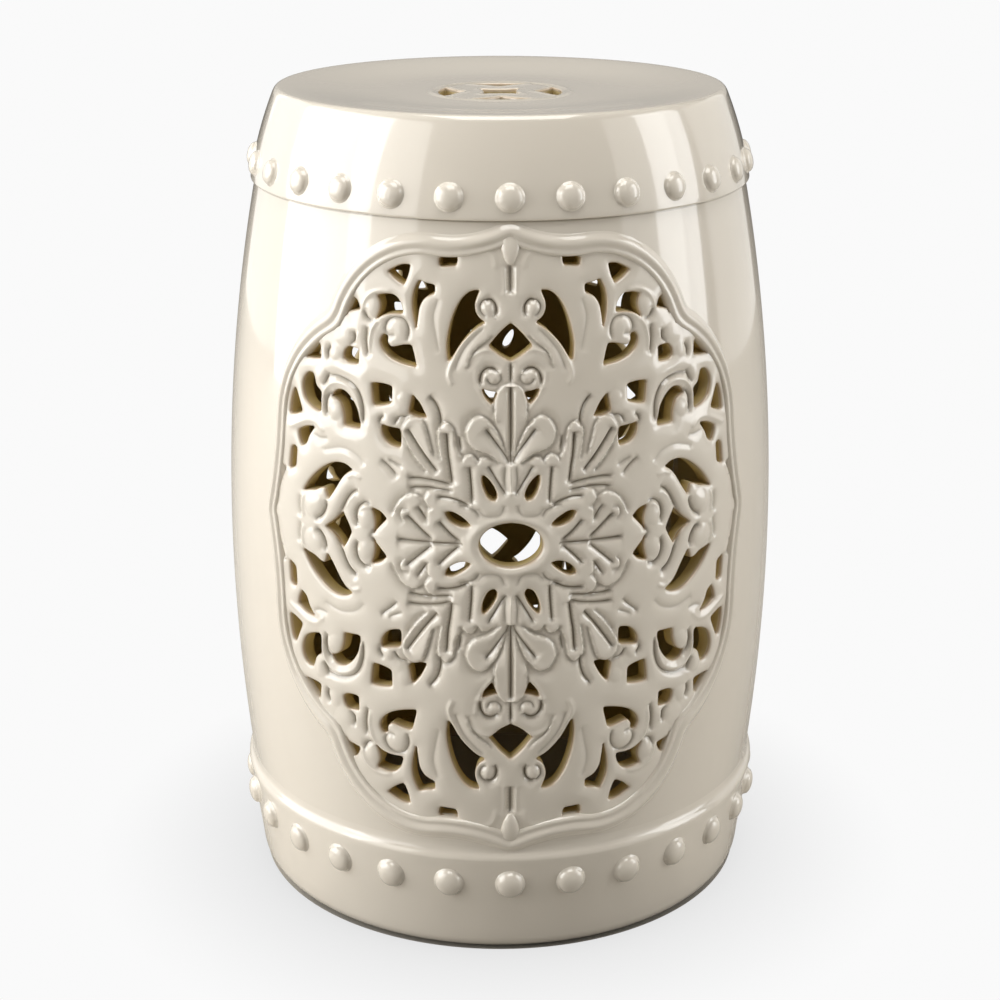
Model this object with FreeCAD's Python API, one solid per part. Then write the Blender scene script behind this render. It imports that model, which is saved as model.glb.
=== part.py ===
import FreeCAD, Part
import math
import os

from FreeCAD import Vector

# A drum-shaped ceramic garden stool with a pierced medallion on its front and back.
# Millimetres. The origin is on the floor under the stool's axis, +Z is up, the front faces -Y.
# Round walls are drawn with narrow flats, so that every opening of the fretwork stays crisp.

# Overall sizes
stool_height = 457.2
drum_end_radius = 150.5
belly_bulge = 14.5
drum_thickness = 10.0

# Foot band
foot_band_height = 58.3
foot_band_overhang = 3.6
foot_band_taper = 11.3
foot_rounding = 9.0
foot_band_step_rounding = 3.0
foot_ledge_thickness = 12.0
foot_ledge_width = 17.2

# Shoulder and seat
shoulder_height = 55.6
shoulder_overhang = 2.6
shoulder_taper = 13.3
shoulder_bulge = 1.6
rim_rounding = 5.0
seat_dish_depth = 5.4
seat_slab_thickness = 10.0
band_wall_overlap = 2.5

# Coin opening in the middle of the seat
coin_square_side = 24.0
coin_square_hollow = 2.6
coin_window_outer_radius = 38.0
coin_window_inner_radius = 21.5
coin_window_half_angle = 29.0
coin_window_hollow = 1.8
coin_window_count = 4
coin_field_radius = 47.0

# Nail-head bosses
boss_radius = 7.6
boss_height = 4.6
bosses_per_row = 28
shoulder_boss_rise = 12.6
foot_boss_drop = 18.5

# Medallion, unrolled at the belly's radius
medallion_half_angle = 54.865
medallion_end_margin = 1.25
medallion_drop = 1.0
moulding_width = 10.5
moulding_ridge_width = 6.2
moulding_ridge_height = 3.2
moulding_fillet_height = 1.7
panel_thickness = 8.0
panel_sink = 1.4
centre_hole_half_width = 17.5
centre_hole_half_height = 12.4
centre_ring_width = 5.0
centre_ring_height = 2.2
luting_gap = 0.1

# How finely the round forms are drawn
wall_flats = 36
drum_courses = 5
boss_sides = 8
oval_sides = 16

# Heights and places that follow
belly_radius = drum_end_radius + belly_bulge
seam_z = stool_height - shoulder_height
drum_middle_z = (foot_band_height + seam_z) / 2
drum_half_height = (seam_z - foot_band_height) / 2
barrel_arc_radius = (drum_half_height ** 2 + belly_bulge ** 2) / (2 * belly_bulge)
foot_band_top_radius = drum_end_radius + foot_band_overhang
foot_radius = foot_band_top_radius - foot_band_taper
foot_ledge_radius = foot_radius - foot_ledge_width
shoulder_base_radius = drum_end_radius + shoulder_overhang
rim_outer_radius = shoulder_base_radius - shoulder_taper
medallion_z = drum_middle_z - medallion_drop
medallion_half_height = drum_half_height - medallion_end_margin
medallion_half_width = belly_radius * math.radians(medallion_half_angle)
slab_underside_z = stool_height - seat_dish_depth - seat_slab_thickness
shoulder_fold_z = seam_z + 2 * shoulder_boss_rise
band_inner_radius = drum_end_radius - drum_thickness - band_wall_overlap
shoulder_slope = math.atan((shoulder_base_radius - rim_outer_radius) / shoulder_height)
rim_top_z = stool_height - rim_rounding * (1 - math.sin(shoulder_slope))

# Construction lengths that only have to reach past what they cut
reach = 40.0
clear_of_wall = 25.0

# The outline of the medallion's quarter: points of its arcs, from the top tip to the side tip
outline_arcs = [
    ((0, 170.4), (17, 165), (42.7, 162.8)),
    ((42.7, 162.8), (88.5, 151.1), (111.4, 117)),
    ((111.4, 117), (137.5, 94.5), (150, 50.6)),
    ((150, 50.6), (153.4, 18), (158, 0)),
]
outline_arc_steps = [2, 5, 4, 2]

# The half sizes it is drawn for, stretched where the medallion's real ones differ
drawn_half_width = outline_arcs[-1][2][0]
drawn_half_height = outline_arcs[0][0][1]

# Openings of one quarter, each a short outline in millimetres across and up from the centre
quarter_openings = {
    "crown_slot": [(31, 154), (43, 153.6), (42, 148.6), (31, 148.6)],
    "crown_wedge": [(59, 149.2), (75, 145), (63, 136.8)],
    "crown_leaf": [(44.6, 138), (54.3, 139.8), (58, 128), (55, 114)],
    "heart_drop": [(17, 137.7), (27, 132.5), (34, 121), (36.5, 109), (35.8, 99), (29.5, 108.2),
                   (14.5, 118.7), (20.3, 127)],
    "bud_wedge": [(7.5, 82), (16, 85.5), (10.5, 76)],
    "comma": [(56.5, 105.8), (67, 105), (73, 110), (76, 106), (70.5, 98), (54, 93.3)],
    "eye": [(63.5, 122.5), (69.5, 130.8), (80.4, 130), (79.5, 117.5)],
    "shoulder_wedge": [(91.7, 121.2), (97.5, 128.5), (103.6, 118.2)],
    "notch_square": [(90.5, 102), (99.5, 101.5), (100.8, 92.4), (90.8, 92.2)],
    "notch_wedge": [(118, 105), (132, 94), (129, 91.3), (118, 91.3)],
    "square": [(69, 83.5), (81, 84.7), (80.3, 70.5), (69, 72.8)],
    "spear": [(47.5, 66.7), (55.5, 79), (58, 68.5)],
    "shell": [(63.5, 59.5), (74.5, 60.8), (69.5, 50.5), (62.5, 49.8)],
    "hook": [(87.5, 56), (92, 69), (99, 77.8), (107.3, 72.3), (100.3, 68.3), (99.3, 57.5)],
    "crescent": [(116.6, 74), (123.6, 82), (131.4, 78), (129.5, 67), (116.3, 61.8)],
    "rim_wedge": [(135.5, 76), (144, 72), (142, 56), (129.5, 60.3)],
    "rim_leaf": [(120.6, 53), (134, 49), (130.6, 40.6), (125, 46)],
    "rim_slot": [(136.5, 41.5), (148, 41), (149, 26), (138, 28.3)],
    "side_drop": [(92.5, 35.5), (107, 37.4), (119, 31.5), (128.3, 18.5), (118, 20.5), (112, 14.8),
                  (104, 21)],
    "side_eye": [(70.4, 10.2), (74.4, 14.2), (79.8, 15.3), (77.6, 4)],
    "ray_almond": [(8.5, 24.3), (10.3, 32.5), (17, 38.2), (15.2, 30)],
    "side_almond": [(22.8, 10.3), (28.2, 17.2), (36.3, 19.2), (31, 12.4)],
}
top_diamond = [(0, 98), (12.8, 106.5), (0, 118.5), (-12.8, 106.5)]
side_diamond = [(92.5, 0), (98.8, 10), (110.8, 0), (98.8, -10)]


def barrel_radius(z):
    """Outer radius of the drum's bulging wall at a height."""
    inner = barrel_arc_radius ** 2 - (z - drum_middle_z) ** 2
    return belly_radius - barrel_arc_radius + math.sqrt(inner)


def shoulder_radius(z):
    """Outer radius of the shoulder, and of the seat slab's edge, at a height."""
    share = (z - seam_z) / (rim_top_z - seam_z)
    straight = shoulder_base_radius + (rim_outer_radius - shoulder_base_radius) * share
    return straight + 4 * shoulder_bulge * share * (1 - share)


def shoulder_course_radius(z):
    """Outer radius of the straight lower course of the shoulder, where the bosses stand."""
    low, high = shoulder_radius(seam_z), shoulder_radius(shoulder_fold_z)
    return low + (high - low) * (z - seam_z) / (shoulder_fold_z - seam_z)


def foot_band_radius(z):
    """Outer radius of the foot band at a height."""
    return foot_radius + (foot_band_top_radius - foot_radius) * z / foot_band_height


def arc(a, middle, b):
    return Part.Arc(a, middle, b).toShape()


def flat_face(*corners):
    """A flat face through its corners, which may repeat where the face is a triangle."""
    distinct = [p for k, p in enumerate(corners) if (p - corners[k - 1]).Length > 1e-6]
    return Part.Face(Part.makePolygon(distinct + distinct[:1]))


def solid_of(faces):
    """A closed solid from its faces, with its outside outwards."""
    solid = Part.Solid(Part.Shell(faces))
    if solid.Volume < 0:
        solid.reverse()
    return solid


def turned(profile, sides=wall_flats, first_side=0, side_count=wall_flats):
    """A closed outline of radii and heights turned about the Z axis in flats.

    Flats are numbered from the middle of the front, towards +X, and touch the round form.
    """
    step = 2 * math.pi / sides
    corner_share = 1 / math.cos(step / 2)
    faces = []
    columns = []
    for k in range(side_count + 1):
        angle = step * (first_side + k - 0.5)
        across, out = corner_share * math.sin(angle), corner_share * math.cos(angle)
        columns.append([Vector(r * across, -r * out, z) for r, z in profile])
    for left, right in zip(columns, columns[1:]):
        for k in range(len(profile)):
            if profile[k][0] > 0 or profile[k - 1][0] > 0:
                faces.append(flat_face(left[k - 1], right[k - 1], right[k], left[k]))
    if side_count < sides:
        faces.append(flat_face(*columns[0]))
        faces.append(flat_face(*columns[-1]))
    return solid_of(faces).removeSplitter()


def rounding(centre_radius, centre_z, radius, start, end, steps):
    """Points of a rounded corner in the profile, between two directions in degrees."""
    points = []
    for k in range(steps + 1):
        angle = math.radians(start + (end - start) * k / steps)
        points.append((centre_radius + radius * math.cos(angle), centre_z + radius * math.sin(angle)))
    return points


def barrel_shell(outer_offset, inner_offset, first_side=0, side_count=wall_flats):
    """Part of the drum's wall between two offsets from its outer surface, inward positive."""
    heights = [foot_band_height + (seam_z - foot_band_height) * k / drum_courses
               for k in range(drum_courses + 1)]
    outer = [(barrel_radius(z) - outer_offset, z) for z in heights]
    inner = [(barrel_radius(z) - inner_offset, z) for z in heights[::-1]]
    return turned(outer + inner, wall_flats, first_side, side_count)


def stretched(points):
    """Drawn points of the medallion at its real size."""
    across = medallion_half_width / drawn_half_width
    up = medallion_half_height / drawn_half_height
    return [(u * across, v * up) for u, v in points]


def inward_normal(spec, point):
    """Unit direction across a flat arc at one of its points, towards the medallion's middle."""
    centre = arc(*[Vector(u, v, 0) for u, v in spec]).Curve.Center
    direction = (centre - Vector(point[0], point[1], 0)).normalize()
    to_middle = Vector(-spec[1][0], -spec[1][1], 0)
    return direction if direction.dot(to_middle) > 0 else -direction


def mitred(point, normal_a, normal_b, inset):
    """A corner of the outline drawn in by an inset on both of its sides."""
    bisector = (normal_a + normal_b).normalize()
    return Vector(point[0], point[1], 0) + bisector * (inset / bisector.dot(normal_a))


def inset_quarter(inset):
    """The arcs of the outline's quarter, each as three flat points, drawn in by an inset."""
    specs = [stretched(spec) for spec in outline_arcs]
    corners = []
    first = inward_normal(specs[0], specs[0][0])
    corners.append(mitred(specs[0][0], first, Vector(-first.x, first.y, 0), inset))
    for before, after in zip(specs, specs[1:]):
        corners.append(mitred(after[0], inward_normal(before, before[2]),
                              inward_normal(after, after[0]), inset))
    last = inward_normal(specs[-1], specs[-1][2])
    corners.append(mitred(specs[-1][2], last, Vector(last.x, -last.y, 0), inset))
    arcs = []
    for k, spec in enumerate(specs):
        middle = Vector(spec[1][0], spec[1][1], 0) + inward_normal(spec, spec[1]) * inset
        arcs.append((corners[k], middle, corners[k + 1]))
    return arcs


def outline_points(inset):
    """The medallion's closed outline, unrolled, drawn in by an inset, in short straight steps."""
    quarter = []
    for spec, steps in zip(inset_quarter(inset), outline_arc_steps):
        curve = arc(*spec)
        first, last = curve.FirstParameter, curve.LastParameter
        for k in range(steps):
            quarter.append(curve.valueAt(first + (last - first) * k / steps))
    side_end = inset_quarter(inset)[-1][2]
    half = [(p.x, p.y) for p in quarter] + [(side_end.x, side_end.y)]
    half += [(p.x, -p.y) for p in quarter[::-1]]
    return half + [(-u, v) for u, v in half[-2:0:-1]]


def medallion_cutter(inset):
    """A wedge-shaped block with the medallion's outline, cut square to the wall all round."""
    planes = []
    for plane_y in (clear_of_wall, belly_radius + clear_of_wall):
        planes.append([Vector(plane_y * math.tan(u / belly_radius), -plane_y, medallion_z + v)
                       for u, v in outline_points(inset)])
    inner, outer = planes
    faces = [flat_face(*inner), flat_face(*outer)]
    for k in range(len(inner)):
        faces.append(flat_face(inner[k - 1], inner[k], outer[k - 1]))
        faces.append(flat_face(inner[k], outer[k], outer[k - 1]))
    return solid_of(faces)


def opening_cutter(points):
    """A straight block through the wall, square to it at the middle of an unrolled outline."""
    middle_u = sum(p[0] for p in points) / len(points)
    azimuth = middle_u / belly_radius
    outward = Vector(math.sin(azimuth), -math.cos(azimuth), 0)
    across = Vector(math.cos(azimuth), math.sin(azimuth), 0)
    start = outward * (drum_end_radius - reach)
    corners = []
    for u, v in points:
        z = medallion_z + v
        sideways = barrel_radius(z) * math.sin(u / belly_radius - azimuth)
        corners.append(start + across * sideways + Vector(0, 0, z))
    face = Part.Face(Part.makePolygon(corners + corners[:1]))
    return face.extrude(outward * (2 * reach))


def mirrored_outlines(points, around_both=True):
    """An outline and its mirror images across the medallion's centre lines."""
    signs = ((1, 1), (-1, 1), (1, -1), (-1, -1)) if around_both else ((1, 1), (-1, -1))
    return [[(su * u, sv * v) for u, v in stretched(points)] for su, sv in signs]


def oval_outline(half_width, half_height):
    """The unrolled outline of the round opening at the medallion's centre."""
    step = 2 * math.pi / oval_sides
    return [(half_width * math.cos(step * k), half_height * math.sin(step * k))
            for k in range(oval_sides)]


def make_fretwork():
    """The pierced panel with the raised ring round its middle opening."""
    quarter_flats = wall_flats // 4
    ground = barrel_shell(panel_sink, panel_sink + panel_thickness, -quarter_flats, 2 * quarter_flats + 1)
    panel = ground.common(medallion_cutter(moulding_width + luting_gap))
    ring_flats = wall_flats // 12
    ring_skin = barrel_shell(panel_sink - centre_ring_height, panel_sink + panel_thickness / 2,
                             -ring_flats, 2 * ring_flats + 1)
    ring_outline = oval_outline(centre_hole_half_width + centre_ring_width,
                                centre_hole_half_height + centre_ring_width)
    panel = panel.fuse(ring_skin.common(opening_cutter(ring_outline)))
    outlines = mirrored_outlines(top_diamond, False) + mirrored_outlines(side_diamond, False)
    for points in quarter_openings.values():
        outlines += mirrored_outlines(points)
    outlines.append(oval_outline(centre_hole_half_width, centre_hole_half_height))
    return panel.cut([opening_cutter(points) for points in outlines]).removeSplitter()


def make_moulding():
    """The raised frame round the panel: a broad outer ridge and a lower inner one."""
    quarter_flats = wall_flats // 4
    sector = (-quarter_flats, 2 * quarter_flats + 1)
    outside = medallion_cutter(0.0)
    between = medallion_cutter(moulding_ridge_width)
    inside = medallion_cutter(moulding_width)
    ridge = barrel_shell(-moulding_ridge_height, -luting_gap, *sector).common(outside).cut(between)
    fillet = barrel_shell(-moulding_fillet_height, -luting_gap, *sector).common(between).cut(inside)
    return ridge.fuse(fillet).removeSplitter()


def make_drum_wall():
    """The bulging wall with a shaped window in its front and in its back."""
    wall = barrel_shell(0.0, drum_thickness)
    window = medallion_cutter(moulding_width)
    return wall.cut([window, facing_back(window)]).removeSplitter()


def make_foot_band():
    """The tapering band at the base, turned in at the floor to a ledge the stool stands on."""
    low_radius = foot_band_radius(foot_rounding)
    corner = foot_band_step_rounding
    corner_z = foot_band_height - corner
    profile = [(foot_ledge_radius, 0.0)]
    profile += rounding(low_radius - foot_rounding, foot_rounding, foot_rounding, -90, 0, 2)
    profile += rounding(foot_band_radius(corner_z) - corner, corner_z, corner, 0, 90, 1)
    profile += [(band_inner_radius, foot_band_height), (band_inner_radius, foot_ledge_thickness),
                (foot_ledge_radius, foot_ledge_thickness)]
    return turned(profile)


def make_shoulder():
    """The sloping band between the drum and the seat, overhanging the drum at its lower edge."""
    thickness = shoulder_base_radius - band_inner_radius
    profile = [(shoulder_radius(z), z) for z in (seam_z, shoulder_fold_z, slab_underside_z)]
    profile += [(shoulder_radius(slab_underside_z) - thickness, slab_underside_z),
                (band_inner_radius, seam_z)]
    return turned(profile)


def coin_square_cutter():
    """The middle opening of the coin: a square whose sides bow inwards."""
    half = coin_square_side / 2
    low = slab_underside_z - reach
    bowed = half - coin_square_hollow
    edges = []
    for k in range(4):
        turn = math.pi / 2 * k
        corners = [(half, -half), (bowed, 0.0), (half, half)]
        points = [Vector(x * math.cos(turn) - y * math.sin(turn),
                         x * math.sin(turn) + y * math.cos(turn), low) for x, y in corners]
        edges.append(arc(*points))
    return Part.Face(Part.Wire(edges)).extrude(Vector(0, 0, 2 * reach))


def coin_window_cutter(turn):
    """One of the coin's side openings: an arc outside and two hollow sides to a point inside."""
    low = slab_underside_z - reach
    spread = math.radians(coin_window_half_angle)
    outer = [Vector(coin_window_outer_radius * math.cos(a), coin_window_outer_radius * math.sin(a), low)
             for a in (-spread, 0, spread)]
    tip = Vector(coin_window_inner_radius, 0, low)
    sides = []
    for end in (outer[2], outer[0]):
        middle = (end + tip) * 0.5
        toward_axis_line = Vector(0, -math.copysign(coin_window_hollow, end.y), 0)
        sides.append(middle + toward_axis_line)
    edges = [arc(*outer), arc(outer[2], sides[0], tip), arc(tip, sides[1], outer[0])]
    cutter = Part.Face(Part.Wire(edges)).extrude(Vector(0, 0, 2 * reach))
    cutter.rotate(Vector(0, 0, 0), Vector(0, 0, 1), turn)
    return cutter


def make_seat():
    """The dished seat slab with its rounded rim and the coin cut through its middle."""
    slope = math.degrees(shoulder_slope)
    rim_centre = rim_outer_radius - rim_rounding * math.cos(shoulder_slope)
    dish_z = stool_height - seat_dish_depth
    dish_middle = (coin_field_radius + rim_centre) / 2
    profile = [(0.0, slab_underside_z), (shoulder_radius(slab_underside_z), slab_underside_z)]
    profile += rounding(rim_centre, stool_height - rim_rounding, rim_rounding, slope, 90, 2)
    profile += [(dish_middle, dish_z + seat_dish_depth / 3), (coin_field_radius, dish_z), (0.0, dish_z)]
    cutters = [coin_square_cutter()]
    for k in range(coin_window_count):
        cutters.append(coin_window_cutter(360.0 / coin_window_count * k))
    return turned(profile).cut(cutters)


def make_boss(radius_at, z):
    """One nail-head dome standing square on the sloping band in the middle of the front."""
    profile = [(0.0, -boss_height / 2), (1.12 * boss_radius, -boss_height / 2),
               (0.7 * boss_radius, 0.74 * boss_height), (0.0, boss_height)]
    dome = turned(profile, boss_sides, 0, boss_sides)
    slope = (radius_at(z + 1.0) - radius_at(z - 1.0)) / 2.0
    dome.rotate(Vector(0, 0, 0), Vector(1, 0, 0), 90.0 + math.degrees(math.atan(slope)))
    dome.translate(Vector(0, -radius_at(z), z))
    return dome


def make_boss_row(radius_at, z, carrier):
    """A full ring of bosses, each with its back trimmed to the band that carries it."""
    first = make_boss(radius_at, z)
    bosses = []
    for k in range(bosses_per_row):
        boss = first.copy()
        boss.rotate(Vector(0, 0, 0), Vector(0, 0, 1), 360.0 / bosses_per_row * k)
        bosses.append(boss.cut(carrier).removeSplitter())
    return Part.makeCompound(bosses)


def facing_back(shape):
    """A front piece turned half round to the back."""
    other = shape.copy()
    other.rotate(Vector(0, 0, 0), Vector(0, 0, 1), 180.0)
    return other


def main():
    os.makedirs("parts", exist_ok=True)
    fretwork = make_fretwork()
    moulding = make_moulding()
    foot_band = make_foot_band()
    shoulder = make_shoulder()
    pieces = {
        "foot_band": foot_band,
        "foot_bosses": make_boss_row(foot_band_radius, foot_band_height - foot_boss_drop, foot_band),
        "drum_wall": make_drum_wall(),
        "front_fretwork": fretwork,
        "back_fretwork": facing_back(fretwork),
        "front_moulding": moulding,
        "back_moulding": facing_back(moulding),
        "shoulder_band": shoulder,
        "shoulder_bosses": make_boss_row(shoulder_course_radius, seam_z + shoulder_boss_rise, shoulder),
        "seat_slab": make_seat(),
    }
    for name, shape in pieces.items():
        print(name, "solids", len(shape.Solids), "valid", shape.isValid(), "volume", round(shape.Volume))
        shape.exportStep("parts/" + name + ".step")


main()
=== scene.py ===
import math

import bmesh
import bpy
import numpy as np
from mathutils import Matrix, Vector
from mathutils.geometry import delaunay_2d_cdt
from mathutils.kdtree import KDTree


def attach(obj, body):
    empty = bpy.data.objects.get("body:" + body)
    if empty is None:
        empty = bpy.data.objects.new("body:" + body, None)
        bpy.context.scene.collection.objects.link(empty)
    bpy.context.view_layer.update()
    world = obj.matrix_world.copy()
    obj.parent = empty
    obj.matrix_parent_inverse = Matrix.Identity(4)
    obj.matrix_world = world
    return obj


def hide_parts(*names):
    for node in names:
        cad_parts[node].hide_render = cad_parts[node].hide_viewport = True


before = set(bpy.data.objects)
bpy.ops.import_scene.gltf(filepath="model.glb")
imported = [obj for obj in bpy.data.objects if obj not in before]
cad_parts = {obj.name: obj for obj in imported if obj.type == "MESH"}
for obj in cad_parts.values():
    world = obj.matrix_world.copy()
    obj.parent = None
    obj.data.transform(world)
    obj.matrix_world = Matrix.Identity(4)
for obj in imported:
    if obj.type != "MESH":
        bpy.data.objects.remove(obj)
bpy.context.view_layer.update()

# An ivory-glazed drum stool. Sizes are millimetres until a piece is finished in metres.
MM = 0.001

# Drum and bands
STOOL_HEIGHT = 457.2
BELLY_RADIUS = 164.4
DRUM_END_RADIUS = 150.3
DRUM_THICKNESS = 10.0
FOOT_BAND_HEIGHT = 58.3
FOOT_BAND_TOP_RADIUS = 154.0
FOOT_RADIUS = 142.7
FOOT_ROUNDING = 9.0
FOOT_LIP_ROUNDING = 4.2
FOOT_LEDGE_RADIUS = 125.6
FOOT_LEDGE_THICKNESS = 12.0
FOOT_ROWS = (14, 22, 30, 38, 46, 51)
# How far the foot band's lip lies under its top, and the slip over it: up from the top and out
LIP_DROP = 0.3
SLIP_FILLET = [(-0.5, 0.95), (0.4, 0.55), (1.6, 0.26), (3.0, 0.09), (4.4, -0.1)]
# The shoulder's slope, its lower edge and its underside: in from the edge and up from the seam
SHOULDER_BASE_RADIUS = 153.0
SHOULDER_BULGE = 1.6
RIM_OUTER_RADIUS = 139.8
RIM_TOP_Z = 453.4
SHOULDER_LIFT = 1.6
SHOULDER_EDGE_ROUNDING = 1.5
SHOULDER_UNDERSIDE = [(2.4, 0.0), (1.7, 0.05)]
BAND_INNER_RADIUS = 138.0
BAND_THICKNESS = 15.1

# Seat
SEAT_DISH_DEPTH = 5.4
DISH_FALLOFF = 0.8
SEAT_SLAB_THICKNESS = 10.0
RIM_ROUNDING_ACROSS = 5.0
RIM_ROUNDING_UP = 9.5
SEAT_EDGE_ROWS = (444.5, 447.0, 449.5)
COIN_PLATE_RADIUS = 60.0
COIN_SQUARE_SIDE = 24.0
COIN_SQUARE_HOLLOW = 2.0
COIN_WINDOW_OUTER = 38.0
COIN_WINDOW_INNER = 21.5
COIN_WINDOW_HOLLOW = 1.8
COIN_WINDOW_HALF_ANGLE = 29.0
# Carving of the coin: how far out each swelling lies, its width and its height; the bead is measured
# from the openings, and the pool is pooled glaze and painted shade in the groove round the coin
COIN_RING = (42.5, 1.6, 0.8)
COIN_GROOVE = (39.9, 1.2, -0.5)
COIN_BEAD = (2.4, 1.4, 0.5)
COIN_POOL_AND_SHADE = (40.1, 1.0, 0.25)

# Bosses
BOSS_RADIUS = 7.6
BOSS_HEIGHT = 4.4
BOSSES_PER_ROW = 28
SHOULDER_BOSS_Z = 414.2
FOOT_BOSS_Z = 39.8
# The glaze round a boss, out from its radius and up, then the dome's width, base and fullness
BOSS_SKIRT = [(1.0, -1.2), (0.7, -0.1), (0.1, 0.25)]
DOME_SHARE = 0.95
DOME_BASE = 0.5
DOME_FULLNESS = 0.93

# Medallion, unrolled onto the drum at its belly
UNROLL_RADIUS = 165.0
PANEL_SINK = 1.4
PANEL_THICKNESS = 8.0
# How far inside the outline lie the panel's edge under the moulding, the openings' outer limit and
# the edge of the drum's window, and how far out and in the block reaches that cuts the window
PANEL_TUCK = 9.0
OPENING_LIMIT = 10.3
WINDOW_INSET = 7.5
WINDOW_REACH = 160.0
CENTRE_HALF_WIDTH = 17.5
CENTRE_HALF_HEIGHT = 11.8

# The seam between drum and shoulder, with the height and depth of its dark line of painted shade under
# the shoulder's edge, and what follows
SEAM_Z = 401.6
SEAM_SHADE = 1.3
SEAM_SHADE_DEPTH = 2.0
DRUM_MIDDLE_Z = (FOOT_BAND_HEIGHT + SEAM_Z) / 2
MEDALLION_Z = DRUM_MIDDLE_Z - 1.0
DRUM_HALF_HEIGHT = (SEAM_Z - FOOT_BAND_HEIGHT) / 2
BELLY_BULGE = BELLY_RADIUS - DRUM_END_RADIUS
BARREL_ARC = (DRUM_HALF_HEIGHT ** 2 + BELLY_BULGE ** 2) / (2 * BELLY_BULGE)
SLAB_UNDERSIDE_Z = STOOL_HEIGHT - SEAT_DISH_DEPTH - SEAT_SLAB_THICKNESS

# How finely the pieces are meshed
EDGE_STEP = 1.1
GROUND_STEP = 1.06
STROKE_STEP = 1.1
BACK_STEP = 7.0
OUTLINE_STEP = 1.6
PANEL_EDGE_STEP = 1.54
WINDOW_OUTLINE_STEP = 1.0
CURVE_SAMPLES = 8
TURNED_STEPS = 240
BOSS_STEPS = 28
LIMIT_STEP = 0.4
WINDOW_STEP = 3.0
COIN_STEP = 1.5
DRUM_ROWS = 56
SHOULDER_ROWS = 14
RIM_ROWS = 12
DISH_ROWS = 20
# How far from an edge or a stroke the rows of points lie that hold the relief's shape there
EDGE_SUPPORTS = (0.45, 1.1)
STROKE_SUPPORT = 0.65
# How far strokes and the rows beside them keep from an edge, how far rows keep from strokes, and
# how many steps the ground keeps from them all
STROKE_CLEARANCE = 1.5
EDGE_CLEARANCE = 1.4
SUPPORT_CLEARANCE = 0.5
GROUND_CLEARANCE = 0.66
CENTRE_LINE_CLEARANCE = 0.25
# How far from an edge its distance is still measured
EDGE_REACH = 9.0
# Faces that meet at less than so many degrees are shaded as one smooth surface
TURNED_SMOOTHING = 50.0
MOULDED_SMOOTHING = 60.0
CARVED_SMOOTHING = 70.0

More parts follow.
